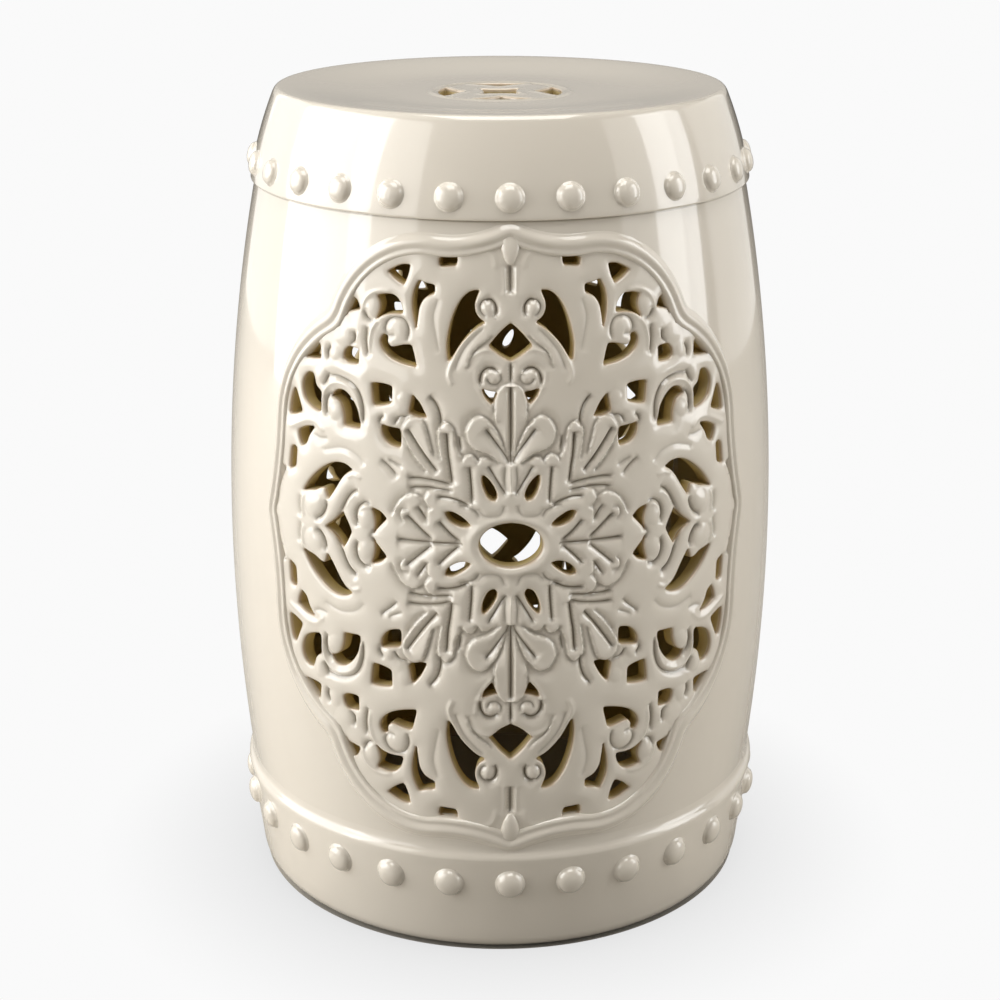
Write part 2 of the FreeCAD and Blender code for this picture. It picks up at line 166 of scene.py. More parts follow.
# Openings of one quarter, in millimetres across and up from the medallion's centre
OPENINGS = {
    "crown_slot": [(31.2, 152.8), (42.6, 152.2), (42, 147.6), (32, 148.4)],
    "crown_wedge": [(60.3, 147.6), (66.5, 147), (74.5, 143.2), (69.5, 139.5), (63.8, 136.6),
                    (61.6, 141.5)],
    "crown_leaf": [(44.6, 137.6), (50, 138.3), (54.3, 139.8), (57, 134.5), (58, 128.5),
                   (57.2, 121.5), (55, 113.8), (54.2, 121), (53.2, 126.3), (50, 130.8),
                   (44.6, 133.2)],
    "heart_drop": [(18, 135.6), (23, 135), (28, 131.2), (32.2, 124.5), (35.2, 115.5), (36.6, 106),
                   (35.6, 97.2), (33, 100.4), (30, 105.2), (26, 110), (20.5, 115), (14.4, 118.6),
                   (18.2, 121), (20.4, 124.8), (20.6, 129), (19.2, 132.8)],
    "bud_wedge": [(7.6, 81.6), (12, 82.3), (16.2, 83.6), (14.6, 79.4), (10.4, 75.2), (9.4, 78.4)],
    "comma": [(54, 93.4), (55.5, 99), (57.4, 105), (62, 104.6), (66, 103.6), (69.8, 102.7),
              (72.6, 105.2), (72.3, 108.4), (75.2, 109.6), (77.1, 106), (75.6, 101.5),
              (70.5, 97.4), (63, 94.8)],
    "eye": [(63.4, 121.2), (65, 126.5), (69, 130.4), (74, 130.9), (80.6, 129.8), (78.4, 125.6),
            (78.5, 121.2), (80.4, 116.8), (76, 119.6), (70, 121)],
    "shoulder_wedge": [(91.7, 121.2), (94, 125.6), (97.3, 127.3), (100.4, 125), (103.6, 118.2),
                       (97.6, 119.8)],
    "notch_square": [(91, 99.6), (98.6, 100.2), (101, 97), (101.4, 93.4), (97.8, 91.7),
                     (90.8, 91.6)],
    "notch_wedge": [(118.2, 91), (119.4, 98.8), (122.2, 98.4), (126.8, 94.2), (130.6, 90.2),
                    (124.5, 90.3)],
    "square": [(68.6, 82), (75, 82.8), (81.6, 82.6), (80.8, 76), (79.8, 70.6), (74, 71.4),
               (68.6, 73)],
    "spear": [(47.5, 66.9), (51.3, 73.8), (56, 78.8), (57, 74), (58.2, 68.4), (52.8, 67)],
    "shell": [(63.4, 59.4), (69, 60), (74.6, 60.9), (73.6, 55.4), (69, 50.8), (62.4, 49.6),
              (62.6, 54.6)],
    "hook": [(87.8, 57), (89.3, 64.5), (93.6, 71.6), (99.6, 75.8), (105, 75.5), (109, 71.8),
             (104.6, 70.6), (101.2, 67.6), (99.4, 62.4), (98.8, 57.2)],
    "crescent": [(123.6, 82), (128, 81.6), (131.4, 77.6), (131.8, 72.4), (129, 66.6),
                 (123.6, 63.4), (116.8, 61.8), (115.8, 65), (116.6, 73), (120.6, 75.6)],
    "rim_wedge": [(131, 59.6), (134.2, 65.4), (137.6, 71.4), (139.6, 70.4), (141.6, 64),
                  (142, 56.2), (136.8, 57.2)],
    "rim_leaf": [(120.6, 52.8), (127.4, 51.8), (134, 48.8), (132.8, 44.4), (130.6, 40.6),
                 (126.8, 43), (124.8, 47.4)],
    "rim_slot": [(134.6, 38.6), (137.4, 39.6), (139.8, 38), (140.4, 31.5), (140.8, 25.8),
                 (138, 27), (135.2, 28.4)],
    "side_drop": [(92.6, 33.8), (97, 36), (103.4, 36.2), (110, 33.8), (117, 29.2), (123.4, 23.2),
                  (128.6, 16.2), (124, 17.4), (119, 18.4), (115.2, 20.3), (111.6, 21),
                  (109.4, 14.9), (104.6, 21.3), (99.6, 28.6), (96.2, 31.8)],
    "side_eye": [(70.4, 10.2), (74.2, 13.6), (79.8, 15.3), (78.2, 11), (77.4, 6), (78.6, 1.8),
                 (74.4, 6.2)],
    "ray_almond": [(9, 23.6), (7.6, 26), (8.8, 30.2), (12, 34.8), (15.7, 38), (16.1, 34.2),
                   (14.9, 29.6), (12.4, 25.2)],
    "side_almond": [(22, 10.2), (24.8, 13), (29, 15.8), (33, 17.4), (36.6, 17), (35.2, 13.8),
                    (31.6, 11), (26.5, 9.4)],
}
TOP_DIAMOND = [(0, 98.2), (6, 101.4), (12.6, 106.2), (5.6, 113.8), (0, 118.4)]
SIDE_DIAMOND = [(92.6, 0), (95.6, 5.5), (98.8, 10), (104, 4.8), (110.8, 0)]

# Carved lines of one quarter: half width and depth or height, then the line's points
VALLEYS = [
    (1.8, 1.3, [(2.2, 26.5), (5.4, 31), (9.2, 37), (13, 43)]),
    (1.4, 0.5, [(3.2, 22), (5.6, 16.6), (10, 15.4), (15, 16.2), (18.6, 20)]),
    (1.6, 1.5, [(21.4, 21.5), (21.8, 29), (22.3, 35), (23, 42.5)]),
    (1.3, 1.7, [(0, 43), (0, 56), (0, 70), (0, 85)]),
    (2.1, 1.6, [(0.8, 43), (3, 47.5), (8.4, 55), (14.5, 62.5)]),
    (1.1, 0.7, [(2.4, 28), (3.4, 35), (3, 43)]),
    (1.4, 1.1, [(27.5, 49.5), (28.5, 53.5), (29, 58.5)]),
    (1.8, 1.9, [(32.6, 31.5), (34, 41), (35.2, 48), (36.2, 60)]),
    (1.5, 1.2, [(39.8, 61.5), (39.6, 67.5), (41.5, 73.5), (46, 79)]),
    (1.8, 1.6, [(40.5, 37.5), (46, 43.6), (52, 51), (59, 60.4)]),
    (1.0, 0.9, [(58, 67.6), (60.5, 66.4), (63, 66.6)]),
    (1.1, 0.7, [(60.5, 39.3), (65, 41.2), (69.5, 43)]),
    (1.2, 0.9, [(63.5, 33.5), (68, 38), (74, 42.5)]),
    (1.5, 1.4, [(22.6, 20.6), (29, 23.4), (35, 24.6), (41.5, 24.6)]),
    (1.2, 0.8, [(17, 14.5), (19.5, 18.3), (24, 20.2), (29, 21)]),
    (1.6, 1.2, [(32.4, 31.2), (38, 32.8), (45, 33.8), (52, 34.2), (58, 33.8)]),
    (1.5, 1.2, [(31.5, 28.2), (38, 28.8), (45, 29.4), (52, 29.2), (57.5, 28.2)]),
    (1.4, 1.2, [(46.5, 10.5), (49, 14.5), (52.5, 19.5)]),
    (1.8, 1.5, [(27.5, 1), (32, 4), (36.5, 8), (40.4, 12.2)]),
    (1.4, 1.4, [(26, 0), (36, 0), (46, 0), (64, 0)]),
    (1.8, 1.4, [(43.5, 1.4), (48, 4.8), (53, 9), (59, 14)]),
    (1.3, 1.3, [(9.4, 121.3), (8.2, 124.6), (8.9, 128.4), (11.6, 130.8), (14.6, 130.3)]),
    (1.1, 0.9, [(13, 130.9), (15.6, 130.2), (17.4, 128), (17.4, 125.2), (15.6, 122.8),
                (13.2, 122.2)]),
    (1.6, 0.5, [(15, 115.6), (20, 111.6), (25.5, 105.6), (29, 99.6), (31.5, 92.6)]),
    (1.3, 1.3, [(6.5, 91.8), (9.6, 94.2), (13.2, 94.4), (16.2, 92), (17.4, 88.2), (17, 84.8)]),
    (1.3, 1.4, [(0, 97.6), (0, 92), (0, 85.5)]),
    (2.6, 0.35, [(40.5, 102), (43, 112), (44.5, 121), (42, 131)]),
    (1.4, 1.2, [(143.8, 27), (147.6, 20), (151, 12), (154, 4)]),
    (1.1, 0.8, [(13.2, 89.6), (11.8, 86.6), (8, 86), (5.4, 88.6), (6.2, 91.8)]),
    (2.6, 1.5, [(0, 133.5), (0, 141), (0, 149.5)]),
    (1.1, 0.8, [(60, 106.5), (59.3, 113), (62, 118), (67, 119.2), (72, 117.2), (74, 112.6),
                (71.5, 109), (67, 109.6)]),
    (1.3, 1.0, [(86, 113), (86.4, 104.5), (84.4, 96)]),
    (1.2, 1.0, [(88.8, 121.5), (86.2, 117), (81.5, 115.6)]),
    (1.2, 1.1, [(94.6, 109.5), (94.4, 104), (97.4, 100.8)]),
    (1.1, 1.1, [(110.6, 99.8), (113.2, 95.4), (112, 90.6)]),
    (1.2, 1.1, [(111, 84.8), (113, 80.2), (115, 76.4)]),
    (1.2, 1.1, [(107, 74.4), (111.5, 70.8), (112.6, 65), (111, 59.6)]),
    (1.3, 1.0, [(86, 59), (86.6, 69), (90, 76.8), (96, 81.3), (104, 83.2), (112, 82.4)]),
    (1.1, 1.0, [(72.4, 66.6), (75.4, 63.6), (75.3, 59)]),
    (1.1, 1.0, [(62, 66.6), (65, 64.6), (66.2, 61.4)]),
    (1.1, 0.5, [(109.5, 48.6), (115.5, 47.8), (121, 49.4)]),
    (1.3, 1.2, [(88, 24), (92.8, 21.4), (96.4, 17), (99.4, 11.4), (103, 5.6), (107.8, 0.4)]),
    (1.3, 1.2, [(110.6, 14.6), (111.4, 9.6), (114, 5.4), (118, 2.4)]),
    (1.3, 0.6, [(130.4, 13.6), (131.2, 8.5), (130, 1)]),
    (1.2, 1.1, [(79.4, 16.6), (84, 17.4), (88.2, 14.4), (89.8, 9), (88.4, 3.4)]),
    (1.0, 1.0, [(77.4, 3.8), (80.6, -0.8)]),
    (2.4, 0.35, [(84, 38), (90, 43), (100, 45), (112, 42)]),
]
CRESTS = [
    (0.9, 0.5, [(2.7, 45.5), (2.7, 60), (2.6, 82)]),
    (0.9, 0.6, [(0, 27), (0, 35), (0, 43)]),
    (0.9, 0.5, [(44, 43.5), (50, 51), (57, 60)]),
    (1.1, 0.7, [(16.5, 117.4), (21.5, 113.8), (27, 108), (31.2, 100.8), (34, 94.4), (34.6, 90),
                (32.4, 85.2)]),
    (1.1, 0.7, [(0.6, 98.4), (4, 101.6), (8.5, 103.9), (14, 104.3), (19, 102.5), (22.6, 99),
                (24.2, 95)]),
    (0.9, 0.5, [(10.4, 92.4), (13.4, 91.2), (14.8, 88.2), (13.8, 85)]),
    (1.0, 0.7, [(19.5, 93.4), (19.4, 88.5), (17.8, 84), (14.6, 78.6), (11.4, 74), (9, 70),
                (8, 65.5)]),
    (0.9, 0.6, [(3.6, 132.5), (3.5, 141), (3.8, 149)]),
    (1.6, 0.4, [(8.6, 147), (9.2, 152), (12, 155.8), (17, 156.9), (24, 156)]),
    (1.1, 0.7, [(63, 120.4), (70, 120.5), (76.5, 118), (81.5, 113), (83.6, 106), (83, 98)]),
    (1.1, 0.6, [(71, 132.3), (78, 132.6), (84.5, 130.2), (88.6, 125.5), (89.4, 120)]),
    (1.0, 0.5, [(91.6, 109), (92.4, 103)]),
    (1.2, 0.7, [(87.4, 61), (88.4, 69), (92, 76.2), (98, 79.6), (105, 80), (111, 76.8),
                (114.4, 70), (114.4, 62.4)]),
    (0.9, 0.5, [(103.8, 70), (107.4, 69), (109.4, 65.8), (109.6, 61.6)]),
    (1.3, 0.5, [(112.5, 51.4), (118, 55.6), (125, 56), (133, 52.8), (141, 49)]),
    (0.9, 0.5, [(89.4, 21.4), (93.4, 17.4), (96.4, 12)]),
    (1.1, 0.6, [(86, 30), (91, 31.6), (95.5, 29.4)]),
    (1.0, 0.6, [(127, 15.6), (128.2, 9), (127, 2)]),
    (0.9, 0.5, [(80.4, 14.9), (84, 15.2), (87, 12.2), (88, 7.6)]),
    (1.1, 0.7, [(141.5, 26), (145.4, 20.6), (149, 12.6), (152, 4.6)]),
]
# Leaf edges: the leaf is on the right of the line
BANKS = [
    (3.2, 1.3, [(3, 48), (6, 57), (11, 65), (17, 69), (22, 66.5), (24.8, 61), (23.5, 55),
                (19, 51), (12, 48.5), (5, 44)]),
    (2.2, 1.1, [(10.4, 44.4), (12.5, 46.5), (15.2, 46.9), (17.2, 45.7), (18.4, 43)]),
    (2.2, 1.1, [(18.6, 44), (20.5, 47.2), (23, 48.3), (25.6, 46.8), (26.6, 44)]),
    (2.4, 1.1, [(27, 46), (30.5, 52), (31.8, 60.5), (34, 63.8), (36.6, 64.8), (39.2, 63.2),
                (40.6, 60), (40, 52), (38.4, 44.5)]),
    (2.6, 1.2, [(43.6, 46), (46, 55), (48, 61.5), (50, 64.8), (54, 66.8), (58.2, 65.4),
                (60.9, 61.6), (61.4, 57.4), (58, 51.5), (52, 43.6), (46, 38)]),
    (2.2, 1.1, [(42, 28.6), (45.6, 27.7), (47.5, 24.5), (46.9, 21), (44, 18.6)]),
    (2.0, 1.0, [(43.4, 18.6), (46, 17), (46.3, 13.5), (44.8, 10.4)]),
    (2.4, 1.1, [(48.5, 22.8), (52, 25), (56, 25.3), (60.7, 22.7), (64.4, 18), (66.4, 12.6)]),
    (2.0, 0.9, [(56.6, 16.2), (60.6, 16.2), (61.4, 13), (58.8, 10.2)]),
    (2.4, 0.9, [(25, 94), (23.2, 99.6), (20, 104.6), (15, 108.4), (10.4, 112.6)]),
    (2.2, 0.9, [(0, 86), (3.6, 85.4), (7, 82.6), (8.6, 78), (8.8, 72), (8.2, 64)]),
]
# Scroll knobs: centre, radius and height
KNOBS = [
    ((13.2, 126.2), 4.6, 0.6), ((9, 89.6), 4.4, 0.5), ((66, 112), 6.6, 0.2),
    ((83.4, 122.6), 4.8, 0.3), ((102.3, 106.5), 6.2, 0.3), ((107.2, 96), 4.6, 0.4),
    ((117.4, 81.6), 5.0, 0.5), ((105, 64.6), 5.2, 0.5), ((70, 63.6), 4.0, 0.5),
    ((119.4, 9.4), 7.0, 0.6), ((83.6, 8.4), 5.2, 0.5), ((60.4, 76), 4.2, 0.4),
]
# Radius of the soft edge round each opening
RIM_ROLL = 1.0

# How far a carved line is felt, how its ends fade, and how far off a faded line seems to the pillow
LINE_REACH = 9.0
LINE_TAPER = 4.0
LONGEST_TAPER_SHARE = 1 / 2.2
FADED_HOLLOW = 4.0
# A valley's spread against its half width, its falloff, full depth and the width of its pooled glaze
# and painted shade
VALLEY_SPREAD = 1.25
VALLEY_FALLOFF = 1.25
FULL_VALLEY = 1.2
VALLEY_POOL_AND_SHADE_WIDTH = 0.75
# A leaf edge: how crisp it is, its spread and falloff, its rise and drop, and its pool of glaze and
# painted shade on its low side
BANK_EDGE_WIDTH = 0.75
BANK_SPREAD = 1.15
BANK_FALLOFF = 1.5
BANK_RISE = 0.7
BANK_DROP = 1.9
BANK_POOL_AND_SHADE_DEPTH = 0.5
BANK_POOL_AND_SHADE_PLACE = 0.8
BANK_POOL_AND_SHADE_WIDTH = 0.9
# A knob's dome and the groove round it
KNOB_DOME = 0.9
KNOB_GROOVE = 0.25
KNOB_GROOVE_WIDTH = 0.7

# How far down a hole's wall each row lies, and how bare of glaze it is
WALL_ROWS = [(0.4, 0.0), (0.8, 0.75), (0.0, 1.0)]
# How wide the glaze is thin at a rim, and how thin it is on the wall below
THIN_GLAZE_WIDTH = 0.4
WALL_RIM = 0.4
# The relief as a whole: its depth and limits, how the clay swells between its lines, the oval's ring
RELIEF_DEPTH = 1.25
RELIEF_LOWEST = -3.0
RELIEF_HIGHEST = 2.2
PILLOW_HEIGHT = 1.2
PILLOW_REACH = 3.0
CENTRE_RING_DISTANCE = 3.4
CENTRE_RING_WIDTH = 2.6
CENTRE_RING_HEIGHT = 1.3
# The bud at the tips of the medallion, meshed in so many steps round and along it
BUD_STEPS = (28, 18)
BUD_CENTRE = 157.6
BUD_HALF_LENGTH = 8.6
BUD_HALF_WIDTH = 6.0
BUD_HEIGHT = 3.2
BUD_SINK = 1.0
BUD_TAPER = 0.3
BUD_FLATNESS = 0.8

# The medallion's outline: arcs of one quarter, from the top tip to the side tip
OUTLINE_ARCS = [
    ((0, 171.2), (17, 165.2), (42.7, 162.8)),
    ((42.7, 162.8), (88.5, 151.1), (111.4, 117)),
    ((111.4, 117), (137.5, 94.5), (150, 50.6)),
    ((150, 50.6), (153.4, 18), (158, 0)),
]
# How far from each corner of the outline the clay is rounded off, and how often it is smoothed
CORNER_REACH = 7.0
CORNER_PASSES = 14
# The moulding's section: how far in from the outline, and height over the drum
MOULDING_SECTION = [(-2.6, -0.5), (-2.1, 0.05), (-1.3, 0.3), (-0.5, 0.8), (0.4, 1.45), (1.4, 2.05),
                    (2.5, 2.4), (3.6, 2.3), (4.5, 1.85), (5.3, 1.3), (5.9, 1.0), (6.5, 0.93),
                    (7.1, 1.05), (7.8, 1.2), (8.5, 1.05), (9.2, 0.5), (9.7, -0.4), (10.1, -1.4),
                    (10.5, -3.2)]
# How far under the drum's skin the moulding's hidden foot lies
MOULDING_SINK = 4.2
# The moulding is narrower along the sides than at the top and bottom
SIDE_WIDTH_SHARE = 0.68
NARROW_BELOW = 62.0
FULL_ABOVE = 122.0

# Glaze: its colours, how strongly it pools and thins, and its clouds and ripples; the pooled colour is
# partly pooled glaze and partly painted shade
GLAZE_COLOURS = {
    "Body": (0.765, 0.70, 0.605, 1),
    "Thin": (0.79, 0.735, 0.645, 1),
    # Pooled glaze and painted shade: the dark colour of grooves, leaf edges and the seam under the
    # shoulder
    "Pool_and_Shade": (0.17, 0.135, 0.085, 1),
    "Rim": (0.50, 0.32, 0.14, 1),
    "Clay": (0.64, 0.49, 0.18, 1),
}
POOL_AND_SHADE_STRENGTH = 0.8
RIM_STRENGTH = 0.75
CLOUD_SCALE = 8.0
RIPPLE_SCALE = 45.0
RIPPLE_STRENGTH = 0.3
GLAZE_IOR = 1.5
COAT_ROUGHNESS = 0.04
# Each glaze's ripple height in millimetres and its roughness
GLAZES = {
    "ivory_glaze": (0.3, 0.12),
    "carved_ivory_glaze": (0.2, 0.16),
    "seat_ivory_glaze": (0.03, 0.14),
}

# Stage, in metres: the floor's colour is a painted shade, darker in front of the stool than to its
# sides and back, and the floor stays dark under it
FLOOR_HALF_WIDTH = 6.0
FLOOR_ROUGHNESS = 0.8
FRONT_FLOOR_SHADE = (0.02, 0.018, 0.014, 1)
SIDE_FLOOR_SHADE = (0.55, 0.52, 0.47, 1)
SHADE_BACK = (-0.5, 0.2)
SHADE_ACROSS = (0.04, 0.16)
STAGE_HOLE = 0.142
BACKDROP_LEVEL = 0.955
SHADOW_REACH = 0.10
SHADOW_DEPTH = 0.32
ROOM_COLOUR = (1.0, 0.95, 0.87, 1)
ROOM_LEVEL = 0.085

# Softboxes: azimuth from the front towards +X, distance, height, width, tall side, power, colour
SOFTBOXES = {
    "left_softbox": (-84, 1.4, 0.6, 1.36, 1.5, 21.0, (0.98, 0.99, 1.0)),
    "left_fill": (-54, 2.0, 0.7, 1.2, 1.7, 11.5, (1.0, 0.98, 0.94)),
    "left_wall": (-128, 1.7, 0.6, 1.3, 1.5, 5.0, (1.0, 0.99, 0.97)),
    "right_softbox": (81, 1.5, 0.6, 0.68, 1.5, 9.0, (0.98, 0.99, 1.0)),
    "right_fill": (68, 2.0, 0.7, 1.2, 1.7, 6.0, (1.0, 0.98, 0.94)),
    "right_wall": (122, 1.6, 0.5, 1.3, 1.3, 3.6, (1.0, 0.98, 0.94)),
    "top_softbox": (5, 0.4, 1.9, 1.2, 1.2, 18.5, (1.0, 0.985, 0.955)),
    "back_panel": (180, 2.2, 0.9, 3.2, 1.0, 3.5, (1.0, 0.94, 0.85)),
}

# The photograph's view: its frame is 1000 pixels wide, with the picture plane upright
VIEW_DISTANCE = 1.2993
VIEW_HEIGHT = 0.6303
VIEW_AZIMUTH = -2.1
FOCAL_PIXELS = 2106.6
HORIZON_ABOVE_MIDDLE = 698.3
FRAME_PIXELS = 1000.0
SENSOR_WIDTH = 36.0


def barrel_radius(z):
    """Outer radius of the drum at a height."""
    return BELLY_RADIUS - BARREL_ARC + math.sqrt(BARREL_ARC ** 2 - (z - DRUM_MIDDLE_Z) ** 2)


def shoulder_radius(z):
    """Outer radius of the shoulder and of the seat's edge at a height."""
    share = (z - SEAM_Z) / (RIM_TOP_Z - SEAM_Z)
    straight = SHOULDER_BASE_RADIUS + (RIM_OUTER_RADIUS - SHOULDER_BASE_RADIUS) * share
    return straight + 4 * SHOULDER_BULGE * share * (1 - share)


def foot_band_radius(z):
    """Outer radius of the foot band at a height."""
    return FOOT_RADIUS + (FOOT_BAND_TOP_RADIUS - FOOT_RADIUS) * z / FOOT_BAND_HEIGHT


def on_drum(u, v, height):
    """A point of the unrolled medallion, wrapped onto the front of the drum, in metres."""
    z = MEDALLION_Z + v
    radius = barrel_radius(z) + height
    angle = u / UNROLL_RADIUS
    return Vector((radius * math.sin(angle), -radius * math.cos(angle), z)) * MM


def mesh_of(name, bm):
    """A mesh that takes over a bmesh."""
    mesh = bpy.data.meshes.new(name)
    bm.to_mesh(mesh)
    bm.free()
    return mesh


def new_piece(name, bm, material, smooth_angle=TURNED_SMOOTHING):
    """A finished piece from its bmesh, shaded smooth up to an angle, riding on the stool."""
    mesh = mesh_of(name, bm)
    mesh.polygons.foreach_set("use_smooth", [True] * len(mesh.polygons))
    mesh.set_sharp_from_angle(angle=math.radians(smooth_angle))
    mesh.materials.append(material)
    piece = bpy.data.objects.new(name, mesh)
    bpy.context.scene.collection.objects.link(piece)
    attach(piece, "root")
    return piece


def cut_by(piece, cutter_meshes):
    """Cuts closed meshes out of a piece and keeps the result as its mesh."""
    for mesh in cutter_meshes:
        cutter = bpy.data.objects.new("cutter", mesh)
        bpy.context.scene.collection.objects.link(cutter)
        cut = piece.modifiers.new("cut", "BOOLEAN")
        cut.operation = "DIFFERENCE"
        cut.solver = "EXACT"
        cut.object = cutter
        depsgraph = bpy.context.evaluated_depsgraph_get()
        result = bpy.data.meshes.new_from_object(piece.evaluated_get(depsgraph))
        piece.modifiers.remove(cut)
        piece.data = result
        bpy.data.objects.remove(cutter)


def turned(profile, steps=TURNED_STEPS):
    """A bmesh of a closed profile of radii and heights, spun about the stool's axis."""
    bm = bmesh.new()
    verts = [bm.verts.new((r * MM, 0, z * MM)) for r, z in profile]
    edges = [bm.edges.new((a, b)) for a, b in zip(verts, verts[1:] + verts[:1])]
    bmesh.ops.spin(bm, geom=verts + edges, cent=(0, 0, 0), axis=(0, 0, 1), dvec=(0, 0, 0),
                   angle=2 * math.pi, steps=steps, use_merge=True, use_duplicate=False)
    bmesh.ops.remove_doubles(bm, verts=bm.verts, dist=1e-6)
    bmesh.ops.recalc_face_normals(bm, faces=bm.faces)
    return bm


def rounding(centre, radius, start, end, steps):
    """Points of a rounded corner of a profile, between two directions in degrees."""
    angles = [math.radians(start + (end - start) * k / steps) for k in range(steps + 1)]
    return [(centre[0] + radius * math.cos(a), centre[1] + radius * math.sin(a)) for a in angles]


# Curves of the ornament

def catmull_rom(points, samples=CURVE_SAMPLES):
    """A smooth open curve through points."""
    P = np.array(points, float)
    P = np.vstack([2 * P[0] - P[1], P, 2 * P[-1] - P[-2]])
    t = np.linspace(0, 1, samples, endpoint=False)[:, None]
    runs = []
    for a, b, c, d in zip(P, P[1:], P[2:], P[3:]):
        runs.append(0.5 * (2 * b + (c - a) * t + (2 * a - 5 * b + 4 * c - d) * t ** 2
                           + (3 * b - a - 3 * c + d) * t ** 3))
    runs.append(P[-2][None])
    return np.vstack(runs)


def resampled(curve, step, closed=False):
    """Evenly spaced points along a curve, without the repeated end of a closed one."""
    if closed:
        curve = np.vstack([curve, curve[:1]])
    lengths = np.linalg.norm(np.diff(curve, axis=0), axis=1)
    along = np.concatenate([[0], np.cumsum(lengths)])
    count = max(3, int(round(along[-1] / step)))
    places = np.linspace(0, along[-1], count + 1)
    even = np.column_stack([np.interp(places, along, curve[:, k]) for k in (0, 1)])
    return even[:-1] if closed else even


def smooth_loop(points, step=EDGE_STEP, corner_degrees=48.0, softening=2):
    """A closed outline through points: smooth along its sides, with small rounded corners."""
    P = np.array(points, float)
    before = P - np.roll(P, 1, axis=0)
    after = np.roll(P, -1, axis=0) - P
    turn = np.arctan2(before[:, 0] * after[:, 1] - before[:, 1] * after[:, 0],
                      (before * after).sum(axis=1))
    corners = [k for k in range(len(P)) if abs(turn[k]) > math.radians(corner_degrees)]
    if not corners:
        around = np.vstack([P[-2:], P, P[:3]])
        first = 2 * CURVE_SAMPLES
        curve = catmull_rom(around)[first:first + CURVE_SAMPLES * len(P)]
    else:
        curves = []
        for first, last in zip(corners, corners[1:] + [corners[0] + len(P)]):
            run = [P[k % len(P)] for k in range(first, last + 1)]
            curves.append(catmull_rom(run)[:-1])
        curve = np.vstack(curves)
    loop = resampled(curve, step * 0.5, closed=True)
    for _ in range(softening * 2):
        loop = 0.25 * np.roll(loop, 1, axis=0) + 0.5 * loop + 0.25 * np.roll(loop, -1, axis=0)
    return resampled(loop, step, closed=True)


def mirrored_closed(half, axis):
    """A closed outline from its half, which starts and ends on one of the centre lines."""
    sign = (-1, 1) if axis == "up" else (1, -1)
    return half + [(u * sign[0], v * sign[1]) for u, v in half[-2:0:-1]]


def circle_through(a, b, c):
    """Centre and radius of the circle through three points."""
    ax, ay, bx, by, cx, cy = *a, *b, *c
    d = 2 * (ax * (by - cy) + bx * (cy - ay) + cx * (ay - by))
    sa, sb, sc = ax * ax + ay * ay, bx * bx + by * by, cx * cx + cy * cy
    centre = np.array([(sa * (by - cy) + sb * (cy - ay) + sc * (ay - by)) / d,
                       (sa * (cx - bx) + sb * (ax - cx) + sc * (bx - ax)) / d])
    return centre, np.linalg.norm(np.array(a) - centre)


def outline_quarter(step):
    """Points of the outline's quarter with the inward direction at each, mitred at corners."""
    places, inward = [], []
    for arc in OUTLINE_ARCS:
        centre, radius = circle_through(*arc)
        start, end = (math.atan2(*(np.array(p) - centre)[::-1]) for p in (arc[0], arc[2]))
        sweep = (end - start + math.pi) % (2 * math.pi) - math.pi
        count = max(2, int(radius * abs(sweep) / step))
        angles = start + sweep * np.arange(count + 1) / count
        ring = centre + radius * np.column_stack([np.cos(angles), np.sin(angles)])
        towards = (centre - ring) / radius
        middle_of_arc = np.array(arc[1])
        flip = 1 if np.dot(towards[count // 2], -middle_of_arc) > 0 else -1
        places.append(ring)
        inward.append(towards * flip)
    points, normals, corners = [], [], []
    for k, (ring, towards) in enumerate(zip(places, inward)):
        if k == 0:
            corners.append(0)
            points.append(ring[0])
            normals.append(mitre(towards[0], towards[0] * (-1, 1)))
        points += list(ring[1:-1])
        normals += list(towards[1:-1])
        corners.append(len(points))
        points.append(ring[-1])
        following = inward[k + 1][0] if k + 1 < len(inward) else towards[-1] * (1, -1)
        normals.append(mitre(towards[-1], following))
    return np.array(points), np.array(normals), corners


def mitre(a, b):
    """The direction that keeps both sides of a corner at the same distance."""
    middle = (a + b) / np.linalg.norm(a + b)
    return middle / np.dot(middle, a)


def outline_ring(step, inset):
    """The medallion's whole outline drawn in by an inset, clockwise from the top tip."""
    points, normals, corners = outline_quarter(step)
    moved = points + normals * inset
    for k in corners:
        way = normals[k]
        before = way[0] * (points - points[k])[:, 1] - way[1] * (points - points[k])[:, 0]
        after = way[0] * (moved - points[k])[:, 1] - way[1] * (moved - points[k])[:, 0]
        close = np.linalg.norm(points - points[k], axis=1) < 4 * abs(inset) + 1
        moved[close & (before * after < 0)] = moved[k]
    half = np.vstack([moved, moved[-2::-1] * (1, -1)])
    return np.vstack([half, half[-2:0:-1] * (-1, 1)])


def moulding_ring(step, inset):
    """The outline drawn in by an inset that shrinks with the moulding's width at the sides."""
    outer = outline_ring(step, MOULDING_SECTION[0][0])
    rise = np.clip((np.abs(outer[:, 1]) - NARROW_BELOW) / (FULL_ABOVE - NARROW_BELOW), 0, 1)
    share = SIDE_WIDTH_SHARE + (1 - SIDE_WIDTH_SHARE) * rise * rise * (3 - 2 * rise)
    return outer + (outline_ring(step, inset) - outer) * share[:, None]


# Relief of the ornament

